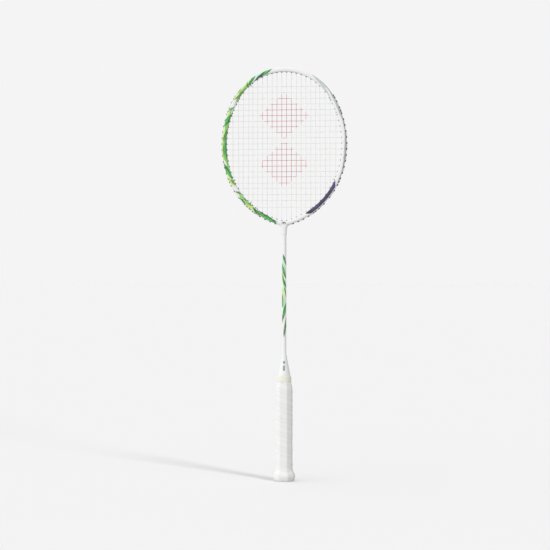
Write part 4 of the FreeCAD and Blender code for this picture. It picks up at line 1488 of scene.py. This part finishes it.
def make_floor():
    """Pale floor that runs on to the horizon; the undersides of things don't pick up its light."""
    start_piece()
    bpy.ops.mesh.primitive_plane_add(size=FLOOR_SIZE)
    floor = bpy.context.object
    floor.name = "pale_floor"
    floor.data.materials.append(studio_finish("pale_floor", FLOOR_TONE))
    floor.visible_diffuse = False
    return floor


def make_world():
    """An even white tent, brighter on the left, in front of a plain backdrop."""
    world = bpy.data.worlds.new("studio")
    bpy.context.scene.world = world
    world.use_nodes = True
    nodes, links = world.node_tree.nodes, world.node_tree.links
    backdrop = nodes["Background"]
    backdrop.inputs["Color"].default_value = (*BACKDROP, 1.0)
    tent = nodes.new("ShaderNodeBackground")
    tent.inputs["Color"].default_value = (1.0, 1.0, 1.0, 1.0)
    facing = nodes.new("ShaderNodeVectorMath")
    facing.operation = "DOT_PRODUCT"
    facing.inputs[1].default_value = Vector(BRIGHT_SIDE).normalized() * TENT_CONTRAST
    links.new(nodes.new("ShaderNodeTexCoord").outputs["Generated"], facing.inputs[0])
    strength = nodes.new("ShaderNodeMath")
    strength.operation = "MULTIPLY_ADD"
    strength.inputs[1].default_value = TENT_STRENGTH
    strength.inputs[2].default_value = TENT_STRENGTH
    links.new(facing.outputs["Value"], strength.inputs[0])
    links.new(strength.outputs[0], tent.inputs["Strength"])
    either = nodes.new("ShaderNodeMixShader")
    links.new(nodes.new("ShaderNodeLightPath").outputs["Is Camera Ray"], either.inputs[0])
    links.new(tent.outputs[0], either.inputs[1])
    links.new(backdrop.outputs[0], either.inputs[2])
    links.new(either.outputs[0], nodes["World Output"].inputs["Surface"])
    bpy.context.scene.view_settings.view_transform = "Standard"


def make_lamp(floor):
    """A low lamp in front on the right, kept off the racket, that lays its shadow on the floor."""
    data = bpy.data.lights.new("low_lamp", "SUN")
    data.angle = LAMP_SPREAD
    data.energy = LAMP_STRENGTH
    lamp = bpy.data.objects.new("low_lamp", data)
    bpy.context.scene.collection.objects.link(lamp)
    lamp.location = Vector(LAMP_SIDE) * 3
    lamp.rotation_mode = "QUATERNION"
    lamp.rotation_quaternion = (-Vector(LAMP_SIDE)).to_track_quat("-Z", "Y")
    lit = bpy.data.collections.new("lit_by_the_low_lamp")
    lit.objects.link(floor)
    lamp.light_linking.receiver_collection = lit


def make_camera():
    """Level with the racket's middle and a little to its right, from across the room."""
    data = bpy.data.cameras.new("camera")
    data.sensor_width = 36.0
    data.lens = data.sensor_width * CAMERA_DISTANCE / VIEW_HEIGHT
    camera = bpy.data.objects.new("camera", data)
    bpy.context.scene.collection.objects.link(camera)
    back = Vector((math.sin(CAMERA_TURN), -math.cos(CAMERA_TURN), 0))
    right = Vector((math.cos(CAMERA_TURN), math.sin(CAMERA_TURN), 0))
    aim = Vector((0, 0, AIM_HEIGHT)) - right * AIM_LEFT
    camera.location = aim + back * CAMERA_DISTANCE
    camera.rotation_mode = "QUATERNION"
    camera.rotation_quaternion = (-back).to_track_quat("-Z", "Y")
    bpy.context.scene.camera = camera


make_head()
make_strings()
make_shaft()
make_throat()
make_cone()
make_grip()
make_band()
make_butt_plate()
make_grommets()
dress_cad()
make_world()
make_lamp(make_floor())
make_camera()
